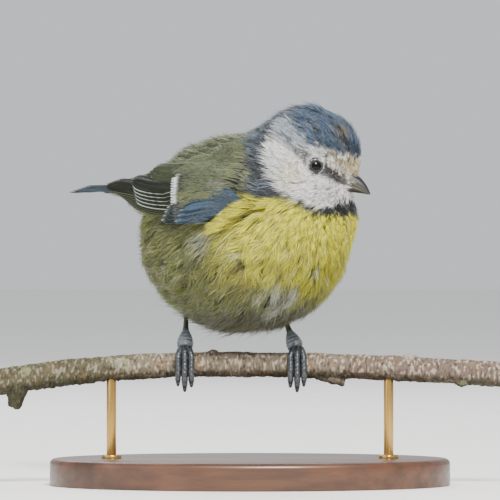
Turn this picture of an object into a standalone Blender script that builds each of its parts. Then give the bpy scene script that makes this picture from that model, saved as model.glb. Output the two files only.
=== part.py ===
"""A blue tit gripping a twig, as a life-size still model on a small display stand.

World frame: metres, +Z up, origin at the middle of the base's underside. The twig runs along X,
and the bird's toes point to -Y. The bird's own frame is (ahead, left, up), seen from the middle
of its body, and the head has a frame of its own in the same order.
"""

import math

import bmesh
import bpy
import numpy as np
from mathutils import Vector

MM = 0.001
GAP = 0.3 * MM

# The bird as a whole
BODY_CENTRE = np.array([-0.3, 0.0, 65.8]) * MM
BODY_YAW = math.radians(44)
BACK_END = -31.0 * MM

# Head, turned to the bird's left and nodding down
HEAD_CENTRE = np.array([20.2, 2.0, 19.6]) * MM
HEAD_RADII = np.array([13.4, 12.6, 13.0]) * MM
HEAD_TURN = math.radians(22)
HEAD_NOD = math.radians(20)
NECK_TOP = -5.5 * MM
NECK_BOTTOM = -10.0 * MM
EYE_PLACE = np.array([5.6, 9.8, -0.6]) * MM
EYE_RADIUS = 2.4 * MM
EYE_PROUD = 0.55 * MM
LID_RADIUS = 1.95 * MM
LID_THICKNESS = 0.36 * MM
BILL_BASE = np.array([12.8, 0.0, -2.7]) * MM
BILL_LENGTH = 6.5 * MM
BILL_WIDTH = 4.6 * MM
BILL_RISE = 2.6 * MM
BILL_DEPTH = 2.1 * MM
MOUTH_DROP = 0.6 * MM

# Twig and display stand
TWIG_HALF_LENGTH = 69.0 * MM
TWIG_TOP_PLACE = -8.0 * MM
TWIG_HEIGHT = 31.4 * MM
TWIG_DROP_LEFT = 1.38
TWIG_DROP_RIGHT = 0.49
TWIG_RADIUS = 3.25 * MM
BASE_SIZE = np.array([104.0, 66.0, 7.0]) * MM
BASE_ROUNDING = 1.0 * MM
ROD_RADIUS = 1.25 * MM
ROD_PLACES = (-36.0 * MM, 36.0 * MM)
ROD_SINK = 2.6 * MM

# Legs and feet
FOOT_PLACES = {"right": -16.9 * MM, "left": 12.2 * MM}
ANKLES = {
    "right": np.array([-16.4, 6.0, 50.6]) * MM,
    "left": np.array([6.6, 5.2, 49.6]) * MM,
}
ANKLE_TURN = 4
ANKLE_RISE = 2.35 * MM
TARSUS_RADIUS = 0.72 * MM
TARSUS_START = 1.9 * MM
TARSUS_SHOWN = 0.72
TOE_RADIUS = 0.86 * MM
TOE_SPACING = 1.74 * MM
CLAW_CURL = 1.4
FRONT_CLAW = 2.4
HIND_CLAW = 3.4


def unit(vector):
    return vector / np.linalg.norm(vector)


def turned_axes(yaw, pitch):
    """Rows are the ahead, left and up axes after a turn to the left and a nod down."""
    ahead = np.array([
        math.cos(yaw) * math.cos(pitch),
        math.sin(yaw) * math.cos(pitch),
        -math.sin(pitch),
    ])
    left = np.array([-math.sin(yaw), math.cos(yaw), 0.0])
    return np.array([ahead, left, np.cross(ahead, left)])


BODY_AXES = turned_axes(-BODY_YAW, 0.0)
HEAD_AXES = turned_axes(HEAD_TURN, HEAD_NOD)
NECK_AXIS = unit(HEAD_CENTRE)


def body_to_world(points):
    return BODY_CENTRE + np.asarray(points) @ BODY_AXES


def head_to_body(points):
    return HEAD_CENTRE + np.asarray(points) @ HEAD_AXES


def head_to_world(points):
    return body_to_world(head_to_body(points))


# The plumage's form: ellipsoids melted into one smooth body


def blob(centre, radii, axes=None, melt=4.0):
    return {
        "centre": np.array(centre) * MM,
        "radii": np.array(radii) * MM,
        "axes": np.eye(3) if axes is None else axes,
        "melt": melt * MM,
    }


def head_blob(place, radii, melt):
    made = blob((0, 0, 0), radii, HEAD_AXES, melt)
    made["centre"] = head_to_body(np.array(place) * MM)
    return made


BLOBS = [
    blob((-1.3, 0, -1.5), (29.5, 25.3, 24.4)),
    blob((-7, 0, 9.5), (20, 17.5, 15.4), melt=5),
    blob((-27, 0, 9.8), (16, 10.2, 7.6), melt=4),
    blob((-28, 0, 6.8), (15, 6.0, 3.8), turned_axes(0, math.radians(14)), melt=4),
    blob((9, 1, 15), (13, 15.5, 13.6), melt=5),
    blob((20.5, 2.5, 5.0), (10.5, 14.0, 11.0), melt=5),
    head_blob((0, 0, 0), HEAD_RADII / MM, melt=3.5),
    head_blob((2.5, 5.0, -4.5), (9.0, 8.0, 7.0), melt=3),
    head_blob((2.5, -5.0, -4.5), (9.0, 8.0, 7.0), melt=3),
    head_blob((9.8, 0, -2.7), (4.6, 3.4, 3.2), melt=2),
]


def form(points):
    """About the distance of body-frame points from the plumage's surface, below 0 inside it."""
    distance = None
    for piece in BLOBS:
        local = (points - piece["centre"]) @ piece["axes"].T
        near = np.linalg.norm(local / piece["radii"], axis=-1)
        slope = np.linalg.norm(local / piece["radii"] ** 2, axis=-1)
        own = near * (near - 1) / np.maximum(slope, 1e-9)
        if distance is None:
            distance = own
            continue
        share = np.clip(0.5 + 0.5 * (distance - own) / piece["melt"], 0, 1)
        distance = distance + (own - distance) * share - piece["melt"] * share * (1 - share)
    return distance


def cast(starts, directions, reach=90 * MM):
    """Where rays from inside the form leave it for the last time."""
    samples = np.linspace(0, reach, 91)
    inside = np.array([form(starts + directions * r) < 0 for r in samples])
    last = len(samples) - 1 - np.argmax(inside[::-1], axis=0)
    last = np.where(inside.any(axis=0), last, 0)
    near = samples[last]
    far = samples[np.minimum(last + 1, len(samples) - 1)]
    for _ in range(22):
        middle = (near + far) / 2
        within = form(starts + directions * middle[:, None]) < 0
        near = np.where(within, middle, near)
        far = np.where(within, far, middle)
    return near


# Mesh helpers


def finish(name, colour, roughness=0.6, metallic=0.0):
    material = bpy.data.materials.get(name) or bpy.data.materials.new(name)
    material.use_nodes = True
    shader = material.node_tree.nodes["Principled BSDF"]
    shader.inputs["Base Color"].default_value = (*colour, 1)
    shader.inputs["Roughness"].default_value = roughness
    shader.inputs["Metallic"].default_value = metallic
    material.diffuse_color = (*colour, 1)
    return material


def face_out(bm):
    """Turns the faces of a closed body outwards."""
    bmesh.ops.recalc_face_normals(bm, faces=bm.faces)
    if bm.calc_volume(signed=True) < 0:
        bmesh.ops.reverse_faces(bm, faces=bm.faces)


def add_object(name, bm):
    face_out(bm)
    mesh = bpy.data.meshes.new(name)
    bm.to_mesh(mesh)
    bm.free()
    made = bpy.data.objects.new(name, mesh)
    bpy.context.scene.collection.objects.link(made)
    return made


def keep_largest(bm):
    """Leaves only the largest closed surface of a mesh."""
    unseen = set(bm.faces)
    islands = []
    while unseen:
        island = {unseen.pop()}
        edge_of_island = list(island)
        while edge_of_island:
            face = edge_of_island.pop()
            for edge in face.edges:
                for other in edge.link_faces:
                    if other in unseen:
                        unseen.remove(other)
                        island.add(other)
                        edge_of_island.append(other)
        islands.append(island)
    islands.sort(key=lambda faces: -sum(face.calc_area() for face in faces))
    extra = [face for island in islands[1:] for face in island]
    if extra:
        bmesh.ops.delete(bm, geom=extra, context="FACES")


def combine(made, others, operation, solver="EXACT"):
    """Joins or cuts a node with a collection of closed pieces, which are then removed."""
    tools = bpy.data.collections.new("pieces")
    bpy.context.scene.collection.children.link(tools)
    for other in others:
        for owner in list(other.users_collection):
            owner.objects.unlink(other)
        tools.objects.link(other)
    modifier = made.modifiers.new("pieces", "BOOLEAN")
    modifier.operation = operation
    modifier.operand_type = "COLLECTION"
    modifier.collection = tools
    modifier.solver = solver
    bpy.context.view_layer.update()
    graph = bpy.context.evaluated_depsgraph_get()
    result = bpy.data.meshes.new_from_object(made.evaluated_get(graph))
    made.modifiers.clear()
    made.data = result
    for other in others:
        bpy.data.objects.remove(other)
    bpy.data.collections.remove(tools)
    bm = bmesh.new()
    bm.from_mesh(made.data)
    keep_largest(bm)
    bmesh.ops.triangulate(bm, faces=bm.faces)
    bm.to_mesh(made.data)
    bm.free()
    return made


def dress(made, material, smooth=True):
    made.data.materials.clear()
    made.data.materials.append(material)
    if smooth:
        made.data.shade_smooth()
        made.data.set_sharp_from_angle(angle=math.radians(40))
    return made


def loft(rings, triangles=False):
    """A closed solid through rings of points, all with the same count."""
    bm = bmesh.new()
    loops = [[bm.verts.new(point) for point in ring] for ring in rings]
    count = len(loops[0])
    for near, far in zip(loops, loops[1:]):
        for i in range(count):
            j = (i + 1) % count
            bm.faces.new((near[i], near[j], far[j], far[i]))
    bm.faces.new(loops[0][::-1])
    bm.faces.new(loops[-1])
    if triangles:
        bmesh.ops.triangulate(bm, faces=bm.faces)
    return bm


def across(direction):
    """Two unit vectors at right angles to a direction and to each other."""
    helper = np.array([0.0, 0.0, 1.0]) if abs(direction[2]) < 0.9 else np.array([1.0, 0, 0])
    first = unit(np.cross(helper, direction))
    return first, np.cross(direction, first)


def tube(path, radii, sides):
    """A round solid along a path, its side vectors carried along so that it never twists."""
    path = np.asarray(path)
    heads = np.gradient(path, axis=0)
    side, _ = across(unit(heads[0]))
    rings = []
    for point, heading, radius in zip(path, heads, radii):
        heading = unit(heading)
        side = unit(side - heading * (side @ heading))
        other = np.cross(heading, side)
        turns = np.arange(sides) * 2 * math.pi / sides
        rings.append([point + radius * (math.cos(t) * side + math.sin(t) * other) for t in turns])
    return loft(rings)


def ellipsoid(name, centre, radii, axes, segments=14, rings=9):
    """A closed ellipsoid in the world frame; the rows of axes are its own axes."""
    bm = bmesh.new()
    bmesh.ops.create_uvsphere(bm, u_segments=segments, v_segments=rings, radius=1)
    for vertex in bm.verts:
        vertex.co = Vector(centre + (np.array(vertex.co) * radii) @ axes)
    return add_object(name, bm)


NECK_SIDE, NECK_BACK = across(NECK_AXIS)
NECK_TURNS = np.linspace(0, 2 * math.pi, 38, endpoint=False)
NECK_OUTWARD = np.cos(NECK_TURNS)[:, None] * NECK_SIDE + np.sin(NECK_TURNS)[:, None] * NECK_BACK


def slice_off(bm, point, normal):
    """Cuts a closed body in the body frame with a plane, and closes it again."""
    geometry = bm.verts[:] + bm.edges[:] + bm.faces[:]
    cut = bmesh.ops.bisect_plane(
        bm, geom=geometry, dist=1e-7, plane_co=point, plane_no=normal, clear_outer=True
    )
    edges = [item for item in cut["geom_cut"] if isinstance(item, bmesh.types.BMEdge)]
    bmesh.ops.holes_fill(bm, edges=edges, sides=0)
    bmesh.ops.triangulate(bm, faces=bm.faces)


def cast_ball(centre, axes, segments, rings):
    """A ball in the body frame, its poles along the first axis, blown out to the form."""
    bm = bmesh.new()
    bmesh.ops.create_uvsphere(bm, u_segments=segments, v_segments=rings, radius=1)
    directions = np.array([vertex.co for vertex in bm.verts])[:, [2, 0, 1]] @ axes
    lengths = cast(np.broadcast_to(centre, directions.shape), directions)
    for vertex, point in zip(bm.verts, centre + directions * lengths[:, None]):
        vertex.co = Vector(point)
    return bm


def cast_end(centre, cut, fan, straight):
    """A body part between a flat cut on the neck's axis and its own rounded far end."""
    pole = unit(centre - cut)
    length = np.linalg.norm(centre - cut)
    rings = []
    for height in np.linspace(length, 0, straight, endpoint=False):
        starts = np.broadcast_to(centre - pole * height, NECK_OUTWARD.shape)
        rings.append(starts + NECK_OUTWARD * cast(starts, NECK_OUTWARD)[:, None])
    starts = np.broadcast_to(centre, NECK_OUTWARD.shape)
    for angle in np.linspace(0, math.pi / 2, fan, endpoint=False):
        directions = NECK_OUTWARD * math.cos(angle) + pole * math.sin(angle)
        rings.append(starts + directions * cast(starts, directions)[:, None])
    bm = loft(rings)
    bm.faces.ensure_lookup_table()
    poked = bmesh.ops.poke(bm, faces=[bm.faces[-1]])["verts"][0]
    poked.co = Vector(centre + pole * cast(centre[None], pole[None])[0])
    bmesh.ops.triangulate(bm, faces=bm.faces)
    return bm


def to_world(bm):
    for vertex in bm.verts:
        vertex.co = Vector(body_to_world(np.array(vertex.co)))


# Torso, neck and head, which meet on planes across the neck's axis


def neck_place(height):
    return HEAD_CENTRE + NECK_AXIS * height


def torso_node():
    bm = cast_end(np.zeros(3), neck_place(NECK_BOTTOM - GAP), 13, 6)
    slice_off(bm, (BACK_END, 0, 0), (-1, 0, 0))
    to_world(bm)
    return add_object("torso", bm)


def neck_node():
    rings = []
    for height in np.linspace(NECK_BOTTOM, NECK_TOP, 4):
        centre = np.broadcast_to(neck_place(height), NECK_OUTWARD.shape)
        rings.append(body_to_world(centre + NECK_OUTWARD * cast(centre, NECK_OUTWARD)[:, None]))
    return add_object("neck", loft(rings, triangles=True))


def form_normal(point):
    """The outward direction of the plumage's surface at a place in the body frame."""
    steps = np.eye(3) * 0.1 * MM
    return unit(form(point + steps) - form(point - steps))


def eye_frame(side):
    """The eye's centre and axes in the world: it looks straight out of the head's surface."""
    aim = unit(EYE_PLACE * np.array([1, side, 1])) @ HEAD_AXES
    surface = HEAD_CENTRE + aim * cast(HEAD_CENTRE[None], aim[None])[0]
    out = form_normal(surface)
    centre = surface - out * (EYE_RADIUS - EYE_PROUD)
    first, second = across(out @ BODY_AXES)
    return body_to_world(centre), np.array([out @ BODY_AXES, first, second])


def lid_ring(side):
    """A ring of bare skin, proud of the feathers, round the opening for the eye."""
    centre, axes = eye_frame(side)
    out = math.sqrt((EYE_RADIUS + 0.2 * MM) ** 2 - LID_RADIUS ** 2)
    turns = np.linspace(0, 2 * math.pi, 20, endpoint=False)
    bm = bmesh.new()
    loops = []
    for turn in turns:
        round_eye = axes[1] * math.cos(turn) + axes[2] * math.sin(turn)
        middle = centre + axes[0] * out + round_eye * (LID_RADIUS + LID_THICKNESS * 0.6)
        loop = []
        for a in np.linspace(0, 2 * math.pi, 6, endpoint=False):
            swell = math.cos(a) * round_eye * 1.5 + math.sin(a) * axes[0]
            loop.append(bm.verts.new(middle + LID_THICKNESS * swell))
        loops.append(loop)
    for near, far in zip(loops, loops[1:] + loops[:1]):
        for i in range(6):
            bm.faces.new((near[i], near[(i + 1) % 6], far[(i + 1) % 6], far[i]))
    return add_object("lid", bm)


def head_node():
    bm = cast_end(HEAD_CENTRE, neck_place(NECK_TOP + GAP), 12, 3)
    to_world(bm)
    made = add_object("head", bm)
    combine(made, [lid_ring(side) for side in (1, -1)], "UNION")
    sockets = [bill_socket()]
    for side in (1, -1):
        centre, axes = eye_frame(side)
        radii = np.full(3, EYE_RADIUS + GAP)
        sockets.append(ellipsoid("socket", centre, radii, axes))
    return combine(made, sockets, "DIFFERENCE")


def bill_socket():
    """The room that the bill takes up in the face, with the gap round it."""
    rings = []
    for s in (0.0, 0.25, 0.6, 1.1):
        ahead = BILL_BASE[0] - GAP + s * BILL_LENGTH
        ring = []
        for turn in np.linspace(0, 2 * math.pi, 18, endpoint=False):
            tall = BILL_RISE if math.sin(turn) > 0 else BILL_DEPTH
            narrow = 1 - 0.55 * s
            across_bill = (BILL_WIDTH / 2 * narrow + GAP * 1.4) * math.cos(turn)
            above = (tall * (1 - 0.5 * s * s) + GAP * 1.9) * math.sin(turn)
            place = np.array([ahead, across_bill, BILL_BASE[2] - MOUTH_DROP * s ** 2 + above])
            ring.append(head_to_world(place))
        rings.append(ring)
    return add_object("socket", loft(rings, triangles=True))


def eye_node(name, side):
    centre, axes = eye_frame(side)
    radii = np.full(3, EYE_RADIUS)
    return ellipsoid(name, centre, radii, axes[[1, 2, 0]])


# Bill


def bill_half(name, upper):
    """One mandible: rounded outside, flat where it meets the other, coming to a point."""
    length = BILL_LENGTH if upper else BILL_LENGTH * 0.94
    tall = BILL_RISE if upper else BILL_DEPTH
    sign = 1 if upper else -1
    rings = []
    for s in (0, 0.15, 0.35, 0.55, 0.75, 0.9, 1.0):
        width = BILL_WIDTH / 2 * (1 - 0.95 * s ** 1.15)
        height = tall * (1 - 0.93 * s ** (1.55 if upper else 1.25))
        line = -MOUTH_DROP * s ** 2 + sign * GAP / 2
        ring = []
        for turn in np.linspace(0, math.pi, 9):
            place = (
                BILL_BASE[0] + s * length,
                width * math.cos(turn),
                BILL_BASE[2] + line + sign * height * math.sin(turn),
            )
            ring.append(head_to_world(np.array(place)))
        rings.append(ring)
    made = add_object(name, loft(rings, triangles=True))
    if not upper:
        return made
    pits = [
        ellipsoid(
            "nostril",
            head_to_world(BILL_BASE + np.array([1.0, side * 1.85, 1.25]) * MM),
            np.array([0.5, 0.3, 0.28]) * MM,
            HEAD_AXES @ BODY_AXES,
            8,
            6,
        )
        for side in (1, -1)
    ]
    return combine(made, pits, "DIFFERENCE")


# Wings and tail: vanes laid on a curved sheet

WING_LEAVES_BODY = -14.0 * MM
WING_END = -43.0 * MM
WING_END_REACH = 9.0 * MM
WING_LOW = 3.0 * MM
WING_RISE = 5.0 * MM
WING_END_GIRTH = 9.0 * MM
WING_GIRTH_GAIN = 15.5 * MM
SHEET_STEP = 1.0 * MM
SHEET_TURN = math.radians(3)


def eased(value, start, end):
    """Goes smoothly from 0 at the start to 1 at the end."""
    s = np.clip((value - start) / (end - start), 0, 1)
    return s * s * (3 - 2 * s)


def wing_line(ahead):
    """The height in the body frame of the folded wing's lower edge, which rises to the tail."""
    return WING_LOW + WING_RISE * eased(ahead, 0.0, WING_END)


def wing_girth(ahead):
    """A nominal radius that turns the distance up round the flank into an angle."""
    return WING_END_GIRTH + WING_GIRTH_GAIN * eased(ahead, WING_END, -6 * MM)


def flank_reach(ahead, turn, side):
    """How far the plumage's surface is from the line inside the wings, at an angle upwards."""
    starts = np.stack([ahead, np.zeros_like(ahead), wing_line(ahead)], axis=-1)
    directions = np.stack([np.zeros_like(ahead), side * np.cos(turn), np.sin(turn)], axis=-1)
    return cast(starts, directions, 40 * MM)


def wing_reach(ahead, turn, side):
    """The folded wing lies on the flank, leaves it on a smooth curve and ends beside the tail."""
    leaves = np.full_like(ahead, WING_LEAVES_BODY)
    start = flank_reach(leaves, turn, side)
    slope = (start - flank_reach(leaves - 2 * MM, turn, side)) / (2 * MM)
    span = WING_LEAVES_BODY - WING_END
    s = np.clip((WING_LEAVES_BODY - ahead) / span, 0, 1.1)
    curve = (2 * s ** 3 - 3 * s ** 2 + 1) * start - (s ** 3 - 2 * s ** 2 + s) * slope * span
    curve = curve + (3 * s ** 2 - 2 * s ** 3) * WING_END_REACH
    body = flank_reach(ahead, turn, side)
    return np.where(ahead > WING_LEAVES_BODY, body, np.maximum(curve, body))


def wing_sheet(side):
    """The wing's own surface as a grid of points, so that feathers can be laid on it."""
    aheads = np.arange(-50 * MM, 24 * MM, SHEET_STEP)
    turns = np.arange(math.radians(-24), math.radians(96), SHEET_TURN)
    ahead, turn = np.meshgrid(aheads, turns, indexing="ij")
    reach = wing_reach(ahead.ravel(), turn.ravel(), side).reshape(ahead.shape)
    points = np.stack([ahead, reach * np.cos(turn), wing_line(ahead) + reach * np.sin(turn)], axis=-1)
    normals = np.cross(np.gradient(points, axis=1), np.gradient(points, axis=0))
    normals = normals / np.linalg.norm(normals, axis=-1, keepdims=True)

    def read(table, i, j):
        low_i, low_j = i.astype(int), j.astype(int)
        part_i, part_j = (i - low_i)[:, None], (j - low_j)[:, None]
        near = table[low_i, low_j] * (1 - part_j) + table[low_i, low_j + 1] * part_j
        far = table[low_i + 1, low_j] * (1 - part_j) + table[low_i + 1, low_j + 1] * part_j
        return near * (1 - part_i) + far * part_i

    def place(ahead, round_up, lift):
        i = np.clip((ahead - aheads[0]) / SHEET_STEP, 0, len(aheads) - 1.001)
        j = np.clip((round_up / wing_girth(ahead) - turns[0]) / SHEET_TURN, 0, len(turns) - 1.001)
        return (read(points, i, j) + read(normals, i, j) * lift[:, None]) * np.array([1, side, 1])

    return place


def tail_sheet(ahead, aside, lift):
    """The closed tail: nearly level, its sides drooping like a low roof."""
    up = 12.9 * MM - 9.0 * aside ** 2 + 0.012 * (ahead + 31 * MM)
    return np.stack([ahead, aside, up + lift], axis=-1)


def vane(name, sheet, root, tip, width, lifts, bow=0.0, thickness=0.55, steps=4, blunt=0.3, quill=0.5):
    """A feather's vane, draped on a sheet from root to tip, all sizes in millimetres."""
    root, tip = np.array(root) * MM, np.array(tip) * MM
    heading = unit(tip - root)
    aside = np.array([-heading[1], heading[0]])
    bm = bmesh.new()
    bmesh.ops.create_grid(bm, x_segments=2, y_segments=steps, size=1)
    bmesh.ops.triangulate(bm, faces=bm.faces, quad_method="FIXED")
    copied = bmesh.ops.extrude_face_region(bm, geom=bm.faces[:], use_keep_orig=True)["geom"]
    upper = [item for item in copied if isinstance(item, bmesh.types.BMVert)]
    bmesh.ops.translate(bm, verts=upper, vec=(0, 0, 1))
    flat = np.array([vertex.co for vertex in bm.verts])
    t, s, top = flat[:, 0], (flat[:, 1] + 1) / 2, flat[:, 2]
    rounding = np.minimum(1.0, (1 - s) / 0.25) ** 0.6
    taper = (quill + (1 - quill) * np.minimum(1.0, s / 0.35)) * (blunt + (1 - blunt) * rounding)
    half = width * MM / 2 * taper
    along = np.linalg.norm(tip - root) * s - np.abs(t) * half * 0.5 * s
    out = bow * MM * np.sin(math.pi * s) + t * half
    places = root + along[:, None] * heading + out[:, None] * aside
    lift = lifts[0] + (lifts[1] - lifts[0]) * s - np.abs(t) * 0.1 + top * thickness
    for vertex, point in zip(bm.verts, body_to_world(sheet(places[:, 0], places[:, 1], lift * MM))):
        vertex.co = Vector(point)
    return add_object(name, bm)


def spread(first, last, count):
    """Evenly spaced pairs of places from a first one to a last one."""
    return [
        (np.array(first) + (np.array(last) - np.array(first)) * (i / max(count - 1, 1)))
        for i in range(count)
    ]


# Each tier of the folded wing, from the innermost outwards: how many feathers, the first one's
# and the last one's root and tip as (ahead, distance up round the flank), width, lifts of the
# first root and tip over the flank, the step in lift to the next feather, bow and lengthwise steps
WING_TIERS = (
    (7, (8, 2.5), (3, 6.5), (-33, 1.4), (-43, 5.2), 4.4, (1.2, 0.6), 0.17, -0.6, 4),
    (5, (3, 6.0), (-1, 10.0), (-22, 3.8), (-29, 7.0), 4.6, (1.5, 1.9), 0.17, -0.3, 3),
    (3, (1, 10.6), (3, 14.0), (-24, 8.2), (-16, 13.2), 5.2, (1.9, 2.2), 0.25, 0.3, 3),
    (5, (10, 3.2), (6, 15.5), (-5, 2.8), (-5.5, 16.0), 4.8, (1.8, 2.7), 0.06, 0.0, 2),
    (4, (15, 5.6), (11, 12.4), (4.5, 2.8), (3.5, 14.4), 5.0, (2.1, 3.1), 0.06, 0.0, 2),
    (3, (11, 2.2), (11, 3.4), (-4.5, 0.0), (-3.5, 2.4), 2.6, (1.8, 2.3), 0.2, -0.5, 2),
    (2, (13, 3.0), (13, 4.2), (0.5, 0.0), (3.0, 2.0), 2.4, (2.2, 3.0), 0.25, -0.5, 2),
)


def wing_node(name, side):
    """The arm's pad with all the folded wing's feathers rooted in it."""
    sheet = wing_sheet(side)
    arm = vane(
        name, sheet, (16.5, 7.8), (-9.5, 8.5), 13.0, (0.7, 0.7), 0.0, 1.7, 7, blunt=0.5, quill=0.35
    )
    vanes = []
    for count, root, last_root, tip, last_tip, width, lifts, climb, bow, steps in WING_TIERS:
        starts, ends = spread(root, last_root, count), spread(tip, last_tip, count)
        for i, (start, end) in enumerate(zip(starts, ends)):
            raised = (lifts[0] + climb * i * 0.6, lifts[1] + climb * i)
            vanes.append(vane("vane", sheet, start, end, width, raised, bow, steps=steps))
    return combine(arm, vanes, "UNION", "MANIFOLD")


# Rows of coverts over and under the tail's root: sideways places, tip, and lifts at root and tip
TAIL_COVERTS = (
    ((-3.2, 0.0, 3.2), -44.0, (0.2, 0.7)),
    ((-1.7, 1.7), -39.5, (0.4, 1.3)),
    ((-2.4, 0.0, 2.4), -47.0, (-4.2, -2.2)),
    ((-1.6, 1.6), -41.0, (-4.6, -3.4)),
)


def tail_node():
    """The stump behind the rump, with twelve tail feathers and the coverts rooted in it."""
    bm = cast_ball(np.array([-28.0, 0, 8.5]) * MM, np.eye(3), 20, 14)
    slice_off(bm, (BACK_END - GAP, 0, 0), (1, 0, 0))
    to_world(bm)
    stump = add_object("tail", bm)
    start = BACK_END / MM - 0.6
    vanes = []
    for pair in range(6):
        for side in (1, -1):
            root = (start, side * (0.4 + 0.45 * pair))
            tip = (-58.4 - 0.3 * pair, side * (1.2 + 1.05 * pair))
            level = -0.27 * pair - (0.13 if side > 0 else 0.0)
            vanes.append(
                vane("vane", tail_sheet, root, tip, 5.6, (level, level), side * 0.4, 0.5, 2, quill=0.6)
            )
    for places, back, lifts in TAIL_COVERTS:
        for aside in places:
            tip = (back + abs(aside) * 0.8, aside * 1.1)
            vanes.append(
                vane("vane", tail_sheet, (start, aside * 0.7), tip, 4.4, lifts, steps=2, quill=0.7)
            )
    return combine(stump, vanes, "UNION", "MANIFOLD")


# Legs, feet and claws


def twig_middle(along):
    """The twig's centre line: a low arch, its ends bowed a little to the front."""
    past = along - TWIG_TOP_PLACE
    drop = TWIG_DROP_LEFT if past < 0 else TWIG_DROP_RIGHT
    bow = 0.35 * max(0.0, abs(along) - 20 * MM) ** 2
    return np.array([along, -bow, TWIG_HEIGHT - drop * past ** 2])


def twig_radius(along):
    return TWIG_RADIUS + 0.004 * max(0.0, -along - 20 * MM)


def round_twig(along, turn, reach):
    """A place near the twig: turn 0 is on top, 90 degrees in front and 180 below."""
    turn = math.radians(turn)
    out = np.array([0.0, -math.sin(turn), math.cos(turn)])
    return twig_middle(along) + out * reach


def toe(along, spread_out, first, last, droop, knuckles, size=1.0):
    """A toe that bends over the twig, with a swelling at each joint."""
    steps = 11
    path, radii = [], []
    for i in range(steps + 1):
        s = i / steps
        turn = first + (last - first) * s
        clear = twig_radius(along) + GAP + 0.05 * MM + TOE_RADIUS * 1.1 * size
        loose = max(0.0, (abs(turn) - 80) / 70)
        reach = clear + droop * MM * loose ** 1.3
        path.append(round_twig(along + spread_out * MM * min(1.0, s * 2.5), turn, reach))
        swell = 0.09 * math.cos(2 * math.pi * knuckles * s)
        tip = 1 - 0.28 * s
        radii.append(TOE_RADIUS * size * tip * (1 + swell))
    radii[0] *= 0.9
    radii[-1] *= 0.72
    return path, radii


# Each toe: its place in the row, its first and last turn round the twig in degrees, how far it
# hangs clear of the twig's underside in millimetres, and its joints
FRONT_TOES = {
    "inner": (-1.0, 12, 134, 3.0, 3),
    "middle": (0.0, 8, 142, 3.9, 4),
    "outer": (1.0, 12, 136, 3.2, 4),
}
HIND_TOE = (-0.9, -12, -128, 0.9, 2)
HIND_SIZE = 1.1


def toes_of(foot):
    """Each toe's path and radii, by name."""
    along = FOOT_PLACES[foot]
    hand = -1 if foot == "right" else 1
    made = {}
    for name, (place, first, last, droop, knuckles) in FRONT_TOES.items():
        aside = -hand * place * TOE_SPACING / MM
        made[name] = toe(along + aside * 0.45 * MM, aside * 0.55, first, last, droop, knuckles)
    aside, first, last, droop, knuckles = HIND_TOE
    made["hind"] = toe(along, hand * aside, first, last, droop, knuckles, HIND_SIZE)
    return made


def tarsus_ends(foot):
    along = FOOT_PLACES[foot]
    low = round_twig(along, ANKLE_TURN, twig_radius(along) + ANKLE_RISE)
    return low, ANKLES[foot]


def foot_node(foot):
    """Ball of the foot and four toes in one."""
    low, ankle = tarsus_ends(foot)
    rise = unit(ankle - low)
    ball = ellipsoid(
        "foot_" + foot,
        low - rise * 0.55 * MM,
        np.array([2.4, 1.6, 1.45]) * MM,
        np.eye(3),
        14,
        9,
    )
    neck = add_object("part", tube(
        [low - rise * 1.0 * MM, low + rise * 0.7 * MM, low + rise * TARSUS_START],
        [TARSUS_RADIUS * 2.5, TARSUS_RADIUS * 2.1, TARSUS_RADIUS * 1.4],
        10,
    ))
    toes = [add_object("part", tube(path, radii, 7)) for path, radii in toes_of(foot).values()]
    cut_twig = twig_tube("part", GAP)
    made = combine(ball, [neck, *toes], "UNION")
    return combine(made, [cut_twig], "DIFFERENCE")


def leg_node(foot):
    """The tarsus, with its front scutes as low steps, up into the belly's plumage."""
    low, ankle = tarsus_ends(foot)
    rise = unit(ankle - low)
    start = low + rise * (TARSUS_START + GAP)
    length = np.linalg.norm(ankle - low) * TARSUS_SHOWN
    path, radii = [], []
    for i in range(15):
        s = i / 14
        path.append(start + rise * length * s)
        step = 1 + (0.07 if i % 2 else 0.0)
        radii.append(TARSUS_RADIUS * step * (1.22 - 0.25 * min(1, s * 2)))
    return add_object("leg_" + foot, tube(path, radii, 10))


def leg_socket(foot):
    """The room that the leg takes up in the belly, with the gap round it."""
    low, ankle = tarsus_ends(foot)
    far = low + (ankle - low) * 0.9
    return add_object("socket", tube([low, (low + far) / 2, far], [TARSUS_RADIUS * 1.5] * 3, 10))


def claw_node(name, path, radii, length):
    """A claw: a curved, tapered cone set on the toe's end."""
    end, before = path[-1], path[-2]
    heading = unit(end - before)
    inward = unit(np.array([0.0, *(twig_middle(end[0]) - end)[1:]]))
    points, sizes = [], []
    for s in np.linspace(0, 1, 6):
        angle = CLAW_CURL * s
        step = length * MM * s
        bend = heading * math.cos(angle / 2) + inward * math.sin(angle / 2)
        points.append(end + heading * GAP + bend * step)
        sizes.append(max(radii[-1] * 0.95 * (1 - s) ** 0.8, 0.09 * MM))
    return add_object(name, tube(points, sizes, 8))


# Twig

# Knots on the twig: place along it and turn round it in degrees, and size, all in millimetres
KNOTS = ((41.5, 10, 1.7), (-9.5, -8, 1.2), (-36.0, 60, 1.9), (55.0, 200, 1.5))


def twig_tube(name, swell=0.0):
    places = np.linspace(-TWIG_HALF_LENGTH, TWIG_HALF_LENGTH, 27)
    path = [twig_middle(x) for x in places]
    radii = [twig_radius(x) * (1 + 0.02 * math.sin(x / MM * 0.9)) + swell for x in places]
    return add_object(name, tube(path, radii, 14))


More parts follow.
